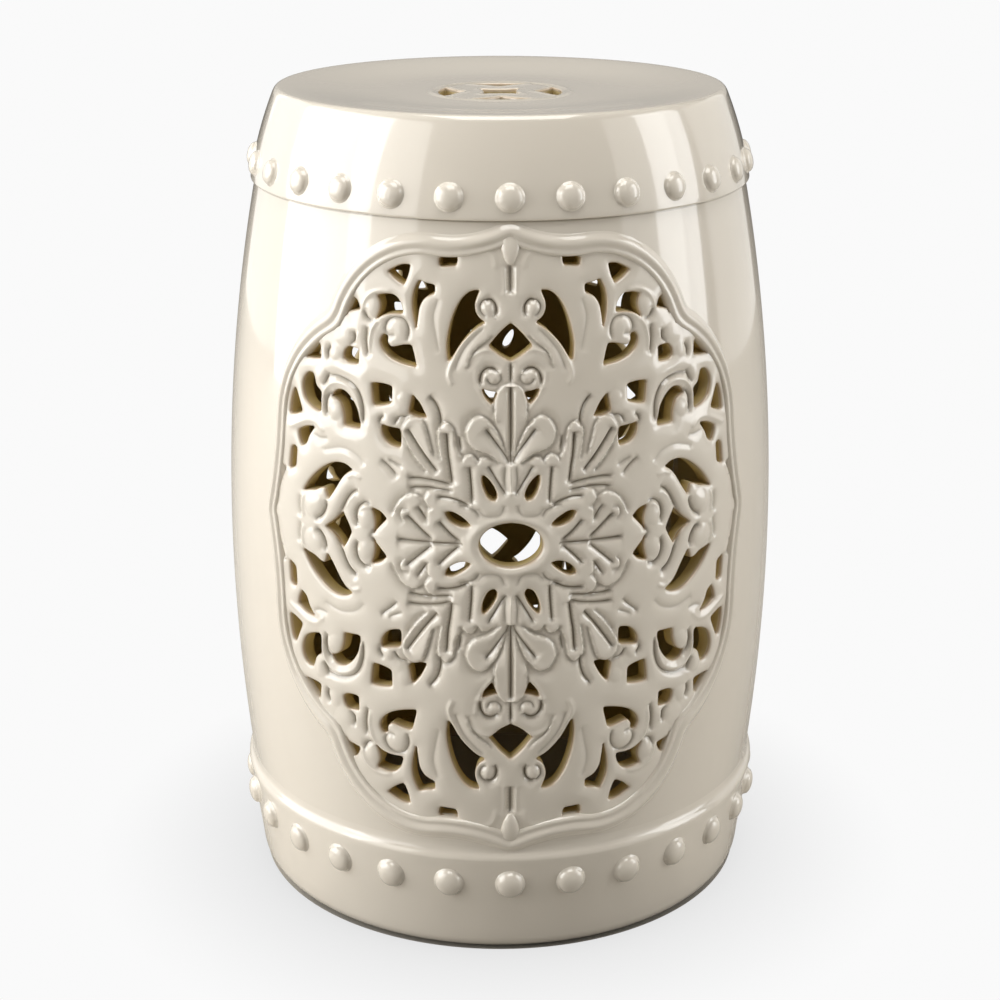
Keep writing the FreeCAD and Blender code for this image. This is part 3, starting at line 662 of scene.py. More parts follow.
def nearest_on_path(points, path):
    """Distance of points from a path, positive on its right, and where along it they are."""
    best = np.full(len(points), 1e9)
    side = np.ones(len(points))
    along = np.zeros(len(points))
    lengths = np.linalg.norm(np.diff(path, axis=0), axis=1)
    starts = np.concatenate([[0], np.cumsum(lengths)])
    for k in range(len(path) - 1):
        a, run = path[k], path[k + 1] - path[k]
        t = np.clip(((points - a) @ run) / lengths[k] ** 2, 0, 1)
        offset = points - (a + t[:, None] * run)
        distance = np.linalg.norm(offset, axis=1)
        closer = distance < best
        best[closer] = distance[closer]
        cross = run[0] * offset[:, 1] - run[1] * offset[:, 0]
        side[closer] = -np.sign(cross[closer])
        along[closer] = starts[k] + t[closer] * lengths[k]
    return best, side, along, starts[-1]


def stroke_ends(along, length, taper):
    """How strong a line is at places along it: full in the middle, fading at both ends."""
    share = np.clip(np.minimum(along, length - along) / min(taper, length * LONGEST_TAPER_SHARE), 0, 1)
    return np.sqrt(share * (2 - share))


def near_path(points, path, reach):
    """Which points lie within a reach of a path's bounding box."""
    return np.all((points > path.min(axis=0) - reach) & (points < path.max(axis=0) + reach), axis=1)


def swelling(distance, middle, width, amount=1.0):
    """A smooth swelling that is full at one distance and fades to both sides of it."""
    return amount * np.exp(-((distance - middle) / width) ** 2)


def add_line(points, field, kind, width, amount, path):
    """Adds one carved line to the relief's height, its pooled glaze and painted shade, and its pillow
    distance.
    """
    near = near_path(points, path, LINE_REACH)
    if not near.any():
        return
    distance, side, along, length = nearest_on_path(points[near], path)
    strength = amount * stroke_ends(along, length, LINE_TAPER)
    if kind == "crest":
        field["height"][near] += swelling(distance, 0, width, strength)
        return
    if kind == "valley":
        falloff = np.exp(-(distance / (VALLEY_SPREAD * width)) ** VALLEY_FALLOFF)
        field["height"][near] -= strength * falloff
        share = np.clip(strength / FULL_VALLEY, 0, 1)
        # Pooled glaze and painted shade: a dark band along the valley's floor
        pool_and_shade = swelling(distance, 0, VALLEY_POOL_AND_SHADE_WIDTH, share)
        hollow = distance + FADED_HOLLOW * (1 - share)
    else:
        falloff = np.exp(-(distance / (BANK_SPREAD * width)) ** BANK_FALLOFF)
        step = 0.5 * np.tanh(side * distance / BANK_EDGE_WIDTH) * falloff
        field["height"][near] += strength * np.where(side > 0, step * BANK_RISE, step * BANK_DROP)
        share = np.clip(strength, 0, 1)
        # Pooled glaze and painted shade: a dark band just below the leaf edge, on its low side
        pool_and_shade = swelling(distance, BANK_POOL_AND_SHADE_PLACE, BANK_POOL_AND_SHADE_WIDTH, BANK_POOL_AND_SHADE_DEPTH * share)
        pool_and_shade *= side < 0
        hollow = distance + np.where(side > 0, FADED_HOLLOW, 0.0) + FADED_HOLLOW * (1 - share)
    field["pool_and_shade"][near] = np.maximum(field["pool_and_shade"][near], pool_and_shade)
    field["hollow"][near] = np.minimum(field["hollow"][near], hollow)


def add_knob(points, field, centre, radius, amount):
    """Adds a round scroll end: a low dome with a fine groove round it."""
    offset = points - np.array(centre)
    distance = np.linalg.norm(offset, axis=1)
    dome = amount * np.cos(np.clip(distance / radius, 0, 1) * math.pi / 2)
    groove = amount * np.exp(-np.abs(distance - radius) / KNOB_GROOVE_WIDTH)
    field["height"] += KNOB_DOME * dome - KNOB_GROOVE * groove


def loop_distance(points, loops, reach):
    """Distance of each point from the nearest of some closed loops, up to a reach."""
    best = np.full(len(points), float(reach))
    for loop in loops:
        near = near_path(points, loop, reach)
        if near.any():
            distance = nearest_on_path(points[near], np.vstack([loop, loop[:1]]))[0]
            best[near] = np.minimum(best[near], distance)
    return best


def inside_loop(points, loop):
    """Whether each point lies inside a closed loop."""
    inside = np.zeros(len(points), bool)
    near = np.all((points >= loop.min(axis=0)) & (points <= loop.max(axis=0)), axis=1)
    x, y = points[near, 0], points[near, 1]
    flips = np.zeros(len(x), bool)
    for (x0, y0), (x1, y1) in zip(loop, np.roll(loop, -1, axis=0)):
        if y0 != y1:
            crosses = (y0 > y) != (y1 > y)
            flips ^= crosses & (x < (x1 - x0) * (y - y0) / (y1 - y0) + x0)
    inside[near] = flips
    return inside


def on_clay(points, outer, holes):
    """Whether each point lies inside the outer loop and in none of the holes."""
    keep = inside_loop(points, outer)
    for hole in holes:
        keep &= ~inside_loop(points, hole)
    return keep


def offset_points(loop, distance, outward_of_hole):
    """Points beside a closed loop, on the clay's side of it."""
    tangent = np.roll(loop, -1, axis=0) - np.roll(loop, 1, axis=0)
    normal = np.column_stack([tangent[:, 1], -tangent[:, 0]])
    normal /= np.linalg.norm(normal, axis=1)[:, None]
    area = np.sum(loop[:, 0] * np.roll(loop[:, 1], -1) - loop[:, 1] * np.roll(loop[:, 0], -1))
    sign = (1 if area > 0 else -1) * (1 if outward_of_hole else -1)
    return loop + normal * distance * sign


def thinned(points, others, distance):
    """The points that keep a distance from the others."""
    tree = KDTree(len(others))
    for k, p in enumerate(others):
        tree.insert((p[0], p[1], 0), k)
    tree.balance()
    keep = [tree.find((p[0], p[1], 0))[2] >= distance for p in points]
    return points[np.array(keep, bool)]


def hex_grid(low, high, step):
    """Points of an even triangular grid over a box."""
    rows = []
    row_step = step * math.sqrt(3) / 2
    for j in range(int((high[1] - low[1]) / row_step) + 1):
        u = np.arange(low[0] + (j % 2) * step / 2, high[0], step)
        rows.append(np.column_stack([u, np.full(len(u), low[1] + j * row_step)]))
    return np.vstack(rows)


def triangulated(outer, holes, extra_points, extra_lines):
    """Triangles of the region between an outer loop and its holes, through the extra points."""
    coords, edges = [], []
    for loop in [outer] + holes:
        first = len(coords)
        coords += [tuple(p) for p in loop]
        edges += [(first + k, first + (k + 1) % len(loop)) for k in range(len(loop))]
    for line in extra_lines:
        first = len(coords)
        coords += [tuple(p) for p in line]
        edges += [(first + k, first + k + 1) for k in range(len(line) - 1)]
    coords += [tuple(p) for p in extra_points]
    verts, _, faces, _, _, _ = delaunay_2d_cdt([Vector(p) for p in coords], edges, [], 0, 1e-5)
    verts = np.array([tuple(p) for p in verts])
    faces = np.array([tuple(f) for f in faces if len(f) == 3])
    return verts, faces[on_clay(verts[faces].mean(axis=1), outer, holes)]


def clear_runs(line, loops, outer, holes):
    """The stretches of a line that keep clear of every edge and lie on the clay."""
    even = resampled(line, STROKE_STEP)
    clear = (loop_distance(even, loops, 3) > STROKE_CLEARANCE) & on_clay(even, outer, holes)
    clear &= (even >= -1e-6).all(axis=1)
    runs, run = [], []
    for point, good in zip(even, list(clear)):
        if good:
            run.append(point)
            continue
        runs.append(run)
        run = []
    runs.append(run)
    return [np.array(r) for r in runs if len(r) > 2]


def quarter_sheet(outer, holes, extra_points, extra_lines, step):
    """Triangles of the first quarter of a pierced region, split along both centre lines."""
    reach = outer.max(axis=0) + 2.0
    count_u, count_v = int(reach[0] / step), int(reach[1] / step)
    axis_u = np.column_stack([np.linspace(0, reach[0], count_u), np.zeros(count_u)])
    axis_v = np.column_stack([np.zeros(count_v), np.linspace(0, reach[1], count_v)])
    verts, faces = triangulated(outer, holes, extra_points, extra_lines + [axis_u, axis_v])
    verts[np.abs(verts) < 1e-4] = 0.0
    middles = verts[faces].mean(axis=1)
    faces = faces[(middles > 0).all(axis=1)]
    used = np.unique(faces)
    place = np.full(len(verts), -1)
    place[used] = np.arange(len(used))
    return verts[used], place[faces]


def supports(outer, holes, lines):
    """The clear runs of the carved lines, and the points beside them and beside every edge."""
    loops = [outer] + holes
    support = []
    for loop in loops:
        for distance in EDGE_SUPPORTS:
            ring = offset_points(loop, distance, loop is not outer)
            gap = loop_distance(ring, loops, 3)
            support.append(ring[(gap > distance * 0.85) & (ring > -1e-6).all(axis=1)])
    drawn = [run for line in lines for run in clear_runs(line, loops, outer, holes)]
    for run in drawn:
        for side in (True, False):
            beside = offset_points(run, STROKE_SUPPORT, side)
            support.append(beside[loop_distance(beside, loops, 3) > EDGE_CLEARANCE])
    support = np.vstack(support)
    support = support[(support > CENTRE_LINE_CLEARANCE).all(axis=1)]
    if drawn:
        support = thinned(support, np.vstack(drawn), SUPPORT_CLEARANCE)
    return drawn, support


def add_front(bm, verts, faces, field, edge_gap, rim_roll):
    """Adds a plate's carved front, rolled down at the rims of its holes."""
    pool_and_painted_shade = bm.verts.layers.float.new("pool_and_painted_shade")
    rim = bm.verts.layers.float.new("rim")
    bm.verts.layers.float.new("depth")
    roll = np.clip(rim_roll - edge_gap, 0, rim_roll)
    height = field["height"] - (rim_roll - np.sqrt(rim_roll ** 2 - roll ** 2))
    made = []
    for k, (u, v) in enumerate(verts):
        vert = bm.verts.new((u, v, height[k]))
        # The dark colour of pooled glaze and painted shade in the relief's hollows
        vert[pool_and_painted_shade] = field["pool_and_shade"][k]
        vert[rim] = math.exp(-edge_gap[k] / THIN_GLAZE_WIDTH)
        made.append(vert)
    for a, b, c in faces:
        bm.faces.new((made[a], made[b], made[c]))


def add_walls(bm, thickness):
    """Adds the walls through a plate's holes and round its edge, down to its back."""
    pool_and_painted_shade, rim, depth = (bm.verts.layers.float[name] for name in ("pool_and_painted_shade", "rim", "depth"))
    borders = [e for e in bm.edges if e.is_boundary
               and max(abs(v.co.x) for v in e.verts) > 0 and max(abs(v.co.y) for v in e.verts) > 0]
    for drop, bare in WALL_ROWS:
        extruded = bmesh.ops.extrude_edge_only(bm, edges=borders)["geom"]
        for vert in (g for g in extruded if isinstance(g, bmesh.types.BMVert)):
            vert.co.z = -thickness if bare == 1.0 else vert.co.z - drop
            vert[pool_and_painted_shade] = 0.0
            vert[rim] = WALL_RIM * (1.0 - bare)
            vert[depth] = bare
        borders = [g for g in extruded if isinstance(g, bmesh.types.BMEdge)]


def add_back(bm, outer, holes, thickness):
    """Adds a plate's plain back."""
    depth = bm.verts.layers.float["depth"]
    ground = hex_grid((0.0, 0.0), outer.max(axis=0), BACK_STEP)
    ground = thinned(ground, np.vstack([outer] + holes), BACK_STEP * 0.5)
    verts, faces = quarter_sheet(outer, holes, ground, [], BACK_STEP)
    made = []
    for u, v in verts:
        vert = bm.verts.new((u, v, -thickness))
        vert[depth] = 1.0
        made.append(vert)
    for a, b, c in faces:
        bm.faces.new((made[c], made[b], made[a]))


def plate(outer, holes, lines, field_at, step, thickness, rim_roll):
    """A pierced plate in the flat: relief in front, walls through the holes, a plain back.

    It repeats its first quarter in the others. Its bmesh has the layers of pooled glaze and painted
    shade, of rim and of depth, which the glaze reads.
    """
    drawn, support = supports(outer, holes, lines)
    taken = np.vstack([outer] + holes + drawn + [support])
    ground = hex_grid((0.0, 0.0), outer.max(axis=0), step)
    ground = ground[(ground > step * 0.5).all(axis=1)]
    ground = thinned(ground, taken, step * GROUND_CLEARANCE)
    verts, faces = quarter_sheet(outer, holes, np.vstack([support, ground]), drawn, step)
    edge_gap = loop_distance(verts, holes, EDGE_REACH)

    bm = bmesh.new()
    add_front(bm, verts, faces, field_at(verts, edge_gap), edge_gap, rim_roll)
    add_walls(bm, thickness)
    add_back(bm, outer, holes, thickness)
    bmesh.ops.remove_doubles(bm, verts=bm.verts, dist=1e-3)
    for axis in ("X", "Y"):
        bmesh.ops.mirror(bm, geom=list(bm.verts) + list(bm.edges) + list(bm.faces),
                         matrix=Matrix.Identity(4), merge_dist=1e-3, axis=axis)
    bmesh.ops.recalc_face_normals(bm, faces=bm.faces)
    return bm


def quarter_lines():
    """Every carved line with its kind, smoothed, for one quarter."""
    lines = []
    for kind, strokes in (("valley", VALLEYS), ("crest", CRESTS), ("bank", BANKS)):
        for width, amount, points in strokes:
            lines.append((kind, width, amount, catmull_rom(points)))
    return lines


def fretwork_field(points, edge_gap):
    """Relief, pooled glaze and painted shade of the carved panel at points of its quarter."""
    count = len(points)
    field = {"height": np.zeros(count), "pool_and_shade": np.zeros(count), "hollow": np.full(count, 9.0)}
    for kind, width, amount, path in quarter_lines():
        add_line(points, field, kind, width, amount, path)
    for centre, radius, amount in KNOBS:
        add_knob(points, field, centre, radius, amount)
    hollow = np.minimum(field["hollow"], edge_gap)
    field["height"] *= RELIEF_DEPTH
    field["height"] += PILLOW_HEIGHT * (1 - np.exp(-hollow / PILLOW_REACH))
    oval = np.sqrt((points[:, 0] / CENTRE_HALF_WIDTH) ** 2 + (points[:, 1] / CENTRE_HALF_HEIGHT) ** 2)
    out = (oval - 1) * (CENTRE_HALF_WIDTH + CENTRE_HALF_HEIGHT) / 2
    field["height"] += swelling(out, CENTRE_RING_DISTANCE, CENTRE_RING_WIDTH, CENTRE_RING_HEIGHT)
    field["height"] = np.clip(field["height"], RELIEF_LOWEST, RELIEF_HIGHEST)
    return field


def ellipse(half_width, half_height, step):
    """A closed oval outline."""
    angles = np.linspace(0, 2 * math.pi, 120, endpoint=False)
    curve = np.column_stack([half_width * np.cos(angles), half_height * np.sin(angles)])
    return resampled(curve, step, closed=True)


def kept_inside(loop, limit):
    """An opening whose points past a limit are brought back to it, to end at the moulding."""
    past = ~inside_loop(loop, limit)
    if not past.any():
        return loop
    away = np.linalg.norm(loop[past][:, None] - limit[None], axis=2)
    loop = loop.copy()
    loop[past] = limit[away.argmin(axis=1)]
    return resampled(loop, EDGE_STEP, closed=True)


def fretwork_bmesh():
    """The pierced and carved panel, wrapped on the front of the drum."""
    outer = resampled(moulding_ring(EDGE_STEP, PANEL_TUCK), PANEL_EDGE_STEP, closed=True)
    holes = [smooth_loop(opening) for opening in OPENINGS.values()]
    holes += [ellipse(CENTRE_HALF_WIDTH, CENTRE_HALF_HEIGHT, EDGE_STEP),
              smooth_loop(mirrored_closed(TOP_DIAMOND, "up")),
              smooth_loop(mirrored_closed(SIDE_DIAMOND, "across"))]
    limit = moulding_ring(LIMIT_STEP, OPENING_LIMIT)
    holes = [kept_inside(hole, limit) for hole in holes]
    lines = [path for _, _, _, path in quarter_lines() if np.abs(path).min(axis=0).max() > 0.01]
    bm = plate(outer, holes, lines, fretwork_field, GROUND_STEP, PANEL_THICKNESS, RIM_ROLL)
    for vert in bm.verts:
        vert.co = on_drum(vert.co.x, vert.co.y, vert.co.z - PANEL_SINK)
    for end in (1, -1):
        add_bud(bm, end)
    return bm


def add_bud(bm, end):
    """Adds the bud that hangs from a tip of the outline, over the moulding's inner edge."""
    bud = bmesh.ops.create_uvsphere(bm, u_segments=BUD_STEPS[0], v_segments=BUD_STEPS[1],
                                    radius=1)["verts"]
    for vert in bud:
        x, y, z = vert.co
        half_width = BUD_HALF_WIDTH * (0.9 + BUD_TAPER * y) * max(1 - y * y, 0.02) ** -0.1
        height = BUD_HEIGHT * math.copysign(abs(z) ** BUD_FLATNESS, z) - BUD_SINK
        vert.co = on_drum(half_width * x, end * (BUD_CENTRE + BUD_HALF_LENGTH * y), height)
    if end < 0:
        faces = list({face for vert in bud for face in vert.link_faces})
        bmesh.ops.reverse_faces(bm, faces=faces)


def softened(ring):
    """A ring of the outline with its corners rounded as soft clay rounds them."""
    corners = [arc[0] for arc in OUTLINE_ARCS] + [OUTLINE_ARCS[-1][2]]
    share = np.zeros(len(ring))
    for corner in corners:
        away = np.linalg.norm(np.abs(ring) - corner, axis=1)
        share = np.maximum(share, np.exp(-(away / CORNER_REACH) ** 2))
    for _ in range(CORNER_PASSES):
        middle = (np.roll(ring, 1, axis=0) + np.roll(ring, -1, axis=0)) / 2
        ring = ring + (middle - ring) * 0.5 * share[:, None]
    return ring


def add_band(bm, ring, following):
    """Joins two rings of points by a band of faces."""
    for k in range(len(ring)):
        after = (k + 1) % len(ring)
        bm.faces.new((ring[k], ring[after], following[after], following[k]))


def moulding_bmesh():
    """The raised double moulding, swept along the medallion's outline."""
    bm = bmesh.new()
    section = MOULDING_SECTION + [(MOULDING_SECTION[-1][0], -MOULDING_SINK),
                                  (MOULDING_SECTION[0][0], -MOULDING_SINK)]
    rings = []
    for inset, height in section:
        ring = softened(moulding_ring(OUTLINE_STEP, inset))
        rings.append([bm.verts.new(on_drum(u, v, height)) for u, v in ring])
    for ring, following in zip(rings, rings[1:] + rings[:1]):
        add_band(bm, ring, following)
    bmesh.ops.remove_doubles(bm, verts=bm.verts, dist=1e-6)
    bmesh.ops.recalc_face_normals(bm, faces=bm.faces)
    return bm


def turned_to_back(bm):
    """Turns a front piece half round to the back."""
    bmesh.ops.rotate(bm, verts=bm.verts, cent=(0, 0, 0), matrix=Matrix.Rotation(math.pi, 3, "Z"))
    return bm


def window_mesh():
    """The block that cuts the medallion's window through the drum wall."""
    ring = resampled(moulding_ring(WINDOW_OUTLINE_STEP, WINDOW_INSET), WINDOW_STEP, closed=True)
    bm = bmesh.new()
    near = [bm.verts.new(on_drum(u, v, -WINDOW_REACH / 2)) for u, v in ring]
    far = [bm.verts.new(on_drum(u, v, WINDOW_REACH)) for u, v in ring]
    add_band(bm, near, far)
    for rim in (near, far):
        rim_edges = [bm.edges.get((rim[k], rim[k - 1])) for k in range(len(rim))]
        bmesh.ops.triangle_fill(bm, use_beauty=True, edges=rim_edges)
    bmesh.ops.recalc_face_normals(bm, faces=bm.faces)
    return bm


def mark(bm, name, chosen):
    """Sets one of the glaze's layers to full at the vertices that a rule chooses."""
    layer = bm.verts.layers.float.get(name) or bm.verts.layers.float.new(name)
    for vert in bm.verts:
        if chosen(vert.co.xy.length / MM, vert.co.z / MM):
            vert[layer] = 1.0


def make_drum_wall(material):
    """The bulging wall with a window in its front and back."""
    heights = list(np.linspace(FOOT_BAND_HEIGHT, SEAM_Z, DRUM_ROWS + 1))
    profile = [(barrel_radius(z), z) for z in heights[:-1] + [SEAM_Z - SEAM_SHADE, SEAM_Z]]
    profile += [(barrel_radius(z) - DRUM_THICKNESS, z) for z in heights[::-4]]
    bm = turned(profile)
    # Painted shade: the drum's top just under the shoulder's overhang is coloured dark
    mark(bm, "pool_and_painted_shade",
         lambda r, z: z > SEAM_Z - SEAM_SHADE / 2 and r > DRUM_END_RADIUS - SEAM_SHADE_DEPTH)
    mark(bm, "depth", lambda r, z: r < barrel_radius(min(z, SEAM_Z)) - DRUM_THICKNESS / 2)
    piece = new_piece("glazed_drum_wall", bm, material)
    windows = []
    for back in (False, True):
        bm = window_mesh()
        if back:
            turned_to_back(bm)
        windows.append(mesh_of("window", bm))
    cut_by(piece, windows)
    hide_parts("drum_wall")


def make_fretworks(material):
    """The carved panels of the front and the back."""
    front = fretwork_bmesh()
    back = turned_to_back(front.copy())
    for name, bm, node in (("carved_panel_front", front, "front_fretwork"),
                           ("carved_panel_back", back, "back_fretwork")):
        piece = new_piece(name, bm, material, CARVED_SMOOTHING)
        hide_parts(node)


def make_mouldings(material):
    """The raised mouldings round the panels."""
    front = moulding_bmesh()
    back = turned_to_back(front.copy())
    for name, bm, node in (("moulding_front", front, "front_moulding"),
                           ("moulding_back", back, "back_moulding")):
        piece = new_piece(name, bm, material, MOULDED_SMOOTHING)
        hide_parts(node)


def make_foot_band(material):
    """The tapering foot band, with a soft lip at its top and a ledge turned in at the floor."""
    low_radius = foot_band_radius(FOOT_ROUNDING) - FOOT_ROUNDING
    lip_z = FOOT_BAND_HEIGHT - FOOT_LIP_ROUNDING - LIP_DROP
    lip_radius = foot_band_radius(lip_z) - FOOT_LIP_ROUNDING
    profile = [(FOOT_LEDGE_RADIUS, 0.0)]
    profile += rounding((low_radius, FOOT_ROUNDING), FOOT_ROUNDING, -90, -11, 9)
    profile += [(foot_band_radius(z), z) for z in FOOT_ROWS]
    profile += rounding((lip_radius, lip_z), FOOT_LIP_ROUNDING, -6, 50, 8)
    profile += [(barrel_radius(FOOT_BAND_HEIGHT + up) + out, FOOT_BAND_HEIGHT + up)
                for up, out in SLIP_FILLET]
    profile += [(BAND_INNER_RADIUS, FOOT_BAND_HEIGHT + SLIP_FILLET[-1][0]),
                (BAND_INNER_RADIUS, FOOT_LEDGE_THICKNESS), (FOOT_LEDGE_RADIUS, FOOT_LEDGE_THICKNESS)]
    bm = turned(profile)
    mark(bm, "depth", lambda r, z: r < FOOT_RADIUS - 3.0 and z > 1.0)
    piece = new_piece("glazed_foot_band", bm, material)
    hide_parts("foot_band")


def make_shoulder(material):
    """The sloping shoulder band, rounded under at its lower edge."""
    start = SEAM_Z + SHOULDER_LIFT
    heights = np.linspace(start, SLAB_UNDERSIDE_Z, SHOULDER_ROWS + 1)
    profile = [(BAND_INNER_RADIUS, SEAM_Z)]
    profile += [(shoulder_radius(SEAM_Z) - inward, SEAM_Z + up) for inward, up in SHOULDER_UNDERSIDE]
    edge_radius = shoulder_radius(start) - SHOULDER_EDGE_ROUNDING
    profile += rounding((edge_radius, start), SHOULDER_EDGE_ROUNDING, -70, -10, 5)
    profile += [(shoulder_radius(z), z) for z in heights]
    profile += [(shoulder_radius(SLAB_UNDERSIDE_Z) - BAND_THICKNESS, SLAB_UNDERSIDE_Z)]
    bm = turned(profile)
    mark(bm, "depth", lambda r, z: r < SHOULDER_BASE_RADIUS - 2.0 and z < SEAM_Z + 0.02)
    mark(bm, "depth", lambda r, z: r < SHOULDER_BASE_RADIUS - 10.0 and z < SLAB_UNDERSIDE_Z - 1.0
         and r < shoulder_radius(z) - 5.0)
    # Painted shade: the shoulder's underside at the seam is coloured dark
    mark(bm, "pool_and_painted_shade", lambda r, z: z < SEAM_Z + 0.1 and r > DRUM_END_RADIUS - SEAM_SHADE_DEPTH)
    piece = new_piece("glazed_shoulder", bm, material)
    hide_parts("shoulder_band")


def swung(points, turn):
    """Points of the coin turned about its middle."""
    c, s = math.cos(turn), math.sin(turn)
    return [(x * c - y * s, x * s + y * c) for x, y in points]


def coin_window(turn):
    """One side opening of the coin: an arc outside and two hollow sides to a point inside."""
    spread = math.radians(COIN_WINDOW_HALF_ANGLE)
    arc = [(COIN_WINDOW_OUTER * math.cos(a), COIN_WINDOW_OUTER * math.sin(a))
           for a in np.linspace(-spread, spread, 6)]
    tip = (COIN_WINDOW_INNER, 0.0)
    middle = ((arc[0][0] + tip[0]) / 2, (arc[0][1] + tip[1]) / 2 + COIN_WINDOW_HOLLOW)
    return swung(arc + [(middle[0], -middle[1]), tip, middle], turn)


def coin_square():
    """The middle opening of the coin: a square with hollow sides."""
    half = COIN_SQUARE_SIDE / 2
    hollow = half - COIN_SQUARE_HOLLOW
    side = [(half, -half), (hollow, -half * 0.4), (hollow, half * 0.4)]
    return [point for k in range(4) for point in swung(side, math.pi / 2 * k)]


def coin_field(points, edge_gap):
    """Relief of the coin: a raised ring round it and beads round its openings."""
    radius = np.linalg.norm(points, axis=1)
    height = swelling(radius, *COIN_RING) + swelling(radius, *COIN_GROOVE)
    height += swelling(edge_gap, *COIN_BEAD)
    # Pooled glaze and painted shade in the groove round the coin
    return {"height": height, "pool_and_shade": swelling(radius, *COIN_POOL_AND_SHADE)}


def faces_on_joint(bm, tolerance):
    """The faces of the seat or the coin that lie where the two meet."""
    return [f for f in bm.faces
            if all(abs(v.co.xy.length - COIN_PLATE_RADIUS * MM) < tolerance for v in f.verts)]


def make_seat(material):
    """The dished seat with its rounded rim, the coin let into its middle."""
    dish_z = STOOL_HEIGHT - SEAT_DISH_DEPTH
    slope = (SHOULDER_BASE_RADIUS - RIM_OUTER_RADIUS + 4 * SHOULDER_BULGE) / (RIM_TOP_Z - SEAM_Z)
    start = math.atan(slope * RIM_ROUNDING_UP / RIM_ROUNDING_ACROSS)
    start_z = STOOL_HEIGHT - RIM_ROUNDING_UP * (1 - math.sin(start))
    rim_radius = shoulder_radius(start_z) - RIM_ROUNDING_ACROSS * math.cos(start)
    profile = [(COIN_PLATE_RADIUS, SLAB_UNDERSIDE_Z),
               (shoulder_radius(SLAB_UNDERSIDE_Z), SLAB_UNDERSIDE_Z)]
    profile += [(shoulder_radius(z), z) for z in SEAT_EDGE_ROWS]
    profile += [(rim_radius + RIM_ROUNDING_ACROSS * math.cos(a),
                 STOOL_HEIGHT - RIM_ROUNDING_UP * (1 - math.sin(a)))
                for a in np.linspace(start, math.pi / 2, RIM_ROWS)]
    for k in range(1, DISH_ROWS + 1):
        share = k / DISH_ROWS
        radius = rim_radius + (COIN_PLATE_RADIUS - rim_radius) * share
        rise = 0.5 + 0.5 * math.cos(math.pi * share ** DISH_FALLOFF)
        profile.append((radius, dish_z + SEAT_DISH_DEPTH * rise))
    bm = turned(profile)
    bmesh.ops.delete(bm, geom=faces_on_joint(bm, 1e-6), context="FACES")
    angles = np.linspace(0, 2 * math.pi, TURNED_STEPS, endpoint=False)
    outer = COIN_PLATE_RADIUS * np.column_stack([np.cos(angles), np.sin(angles)])
    holes = [smooth_loop(coin_square()), smooth_loop(coin_window(0.0)),
             smooth_loop(coin_window(math.pi / 2))]
    coin = plate(outer, holes, [], coin_field, COIN_STEP, SEAT_SLAB_THICKNESS, RIM_ROLL)
    for vert in coin.verts:
        vert.co = Vector((vert.co.x, vert.co.y, vert.co.z + dish_z)) * MM
    bmesh.ops.delete(coin, geom=faces_on_joint(coin, 2e-5), context="FACES")
    for name in ("pool_and_painted_shade", "rim", "depth"):
        bm.verts.layers.float.new(name)
    bm.from_mesh(mesh_of("coin", coin))
    bmesh.ops.remove_doubles(bm, verts=bm.verts, dist=3e-5)
    bmesh.ops.recalc_face_normals(bm, faces=bm.faces)
    piece = new_piece("glazed_seat", bm, material, MOULDED_SMOOTHING)
    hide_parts("seat_slab")


def make_boss_row(name, node, radius_at, z, material):
    """A ring of round nail-head domes, glazed into the band that carries them."""
    slope = (radius_at(z + 1.0) - radius_at(z - 1.0)) / 2.0
    upright = Matrix.Rotation(math.pi / 2 + math.atan(slope), 4, "X")
    place = Matrix.Translation(Vector((0, -radius_at(z), z)) * MM)
    profile = [(0.0, BOSS_SKIRT[0][1])] + [(BOSS_RADIUS + out, up) for out, up in BOSS_SKIRT]
    profile += [(BOSS_RADIUS * DOME_SHARE * math.cos(a) ** DOME_FULLNESS,
                 DOME_BASE + (BOSS_HEIGHT - DOME_BASE) * math.sin(a))
                for a in np.linspace(0.12, math.pi / 2 - 0.001, 10)]
    bm = bmesh.new()
    dome = turned(profile, BOSS_STEPS)
    bmesh.ops.transform(dome, matrix=place @ upright, verts=dome.verts)
    mesh = mesh_of("dome", dome)
    for k in range(BOSSES_PER_ROW):
        first = len(bm.verts)
        bm.from_mesh(mesh)
        bm.verts.ensure_lookup_table()
        turn = Matrix.Rotation(2 * math.pi / BOSSES_PER_ROW * k, 4, "Z")
        bmesh.ops.transform(bm, matrix=turn, verts=bm.verts[first:])
    bmesh.ops.recalc_face_normals(bm, faces=bm.faces)
    piece = new_piece(name, bm, material, MOULDED_SMOOTHING)
    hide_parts(node)


# Glaze

def node_group(name, inputs, outputs):
    """An empty shader node group with its sockets."""
    group = bpy.data.node_groups.new(name, "ShaderNodeTree")
    for label, kind, default in inputs:
        socket = group.interface.new_socket(label, in_out="INPUT", socket_type=kind)
        socket.default_value = default
    for label, kind in outputs:
        group.interface.new_socket(label, in_out="OUTPUT", socket_type=kind)
    return group, group.nodes.new("NodeGroupInput"), group.nodes.new("NodeGroupOutput")


def add_node(tree, kind, inputs, **settings):
    """A shader node with its settings, and its inputs linked to sockets or given plain values."""
    node = tree.nodes.new(kind)
    for name, value in settings.items():
        setattr(node, name, value)
    for name, value in inputs.items():
        if isinstance(value, bpy.types.NodeSocket):
            tree.links.new(value, node.inputs[name])
        else:
            node.inputs[name].default_value = value
    return node


def maths(tree, operation, *values, clamp=False):
    """The result of a sum on sockets or plain values."""
    node = add_node(tree, "ShaderNodeMath", dict(enumerate(values)),
                    operation=operation, use_clamp=clamp)
    return node.outputs[0]


def mixed(tree, kind, factor, a, b):
    """Colours or numbers mixed by a factor."""
    return add_node(tree, "ShaderNodeMix", {"Factor": factor, "A": a, "B": b},
                    data_type=kind).outputs["Result"]


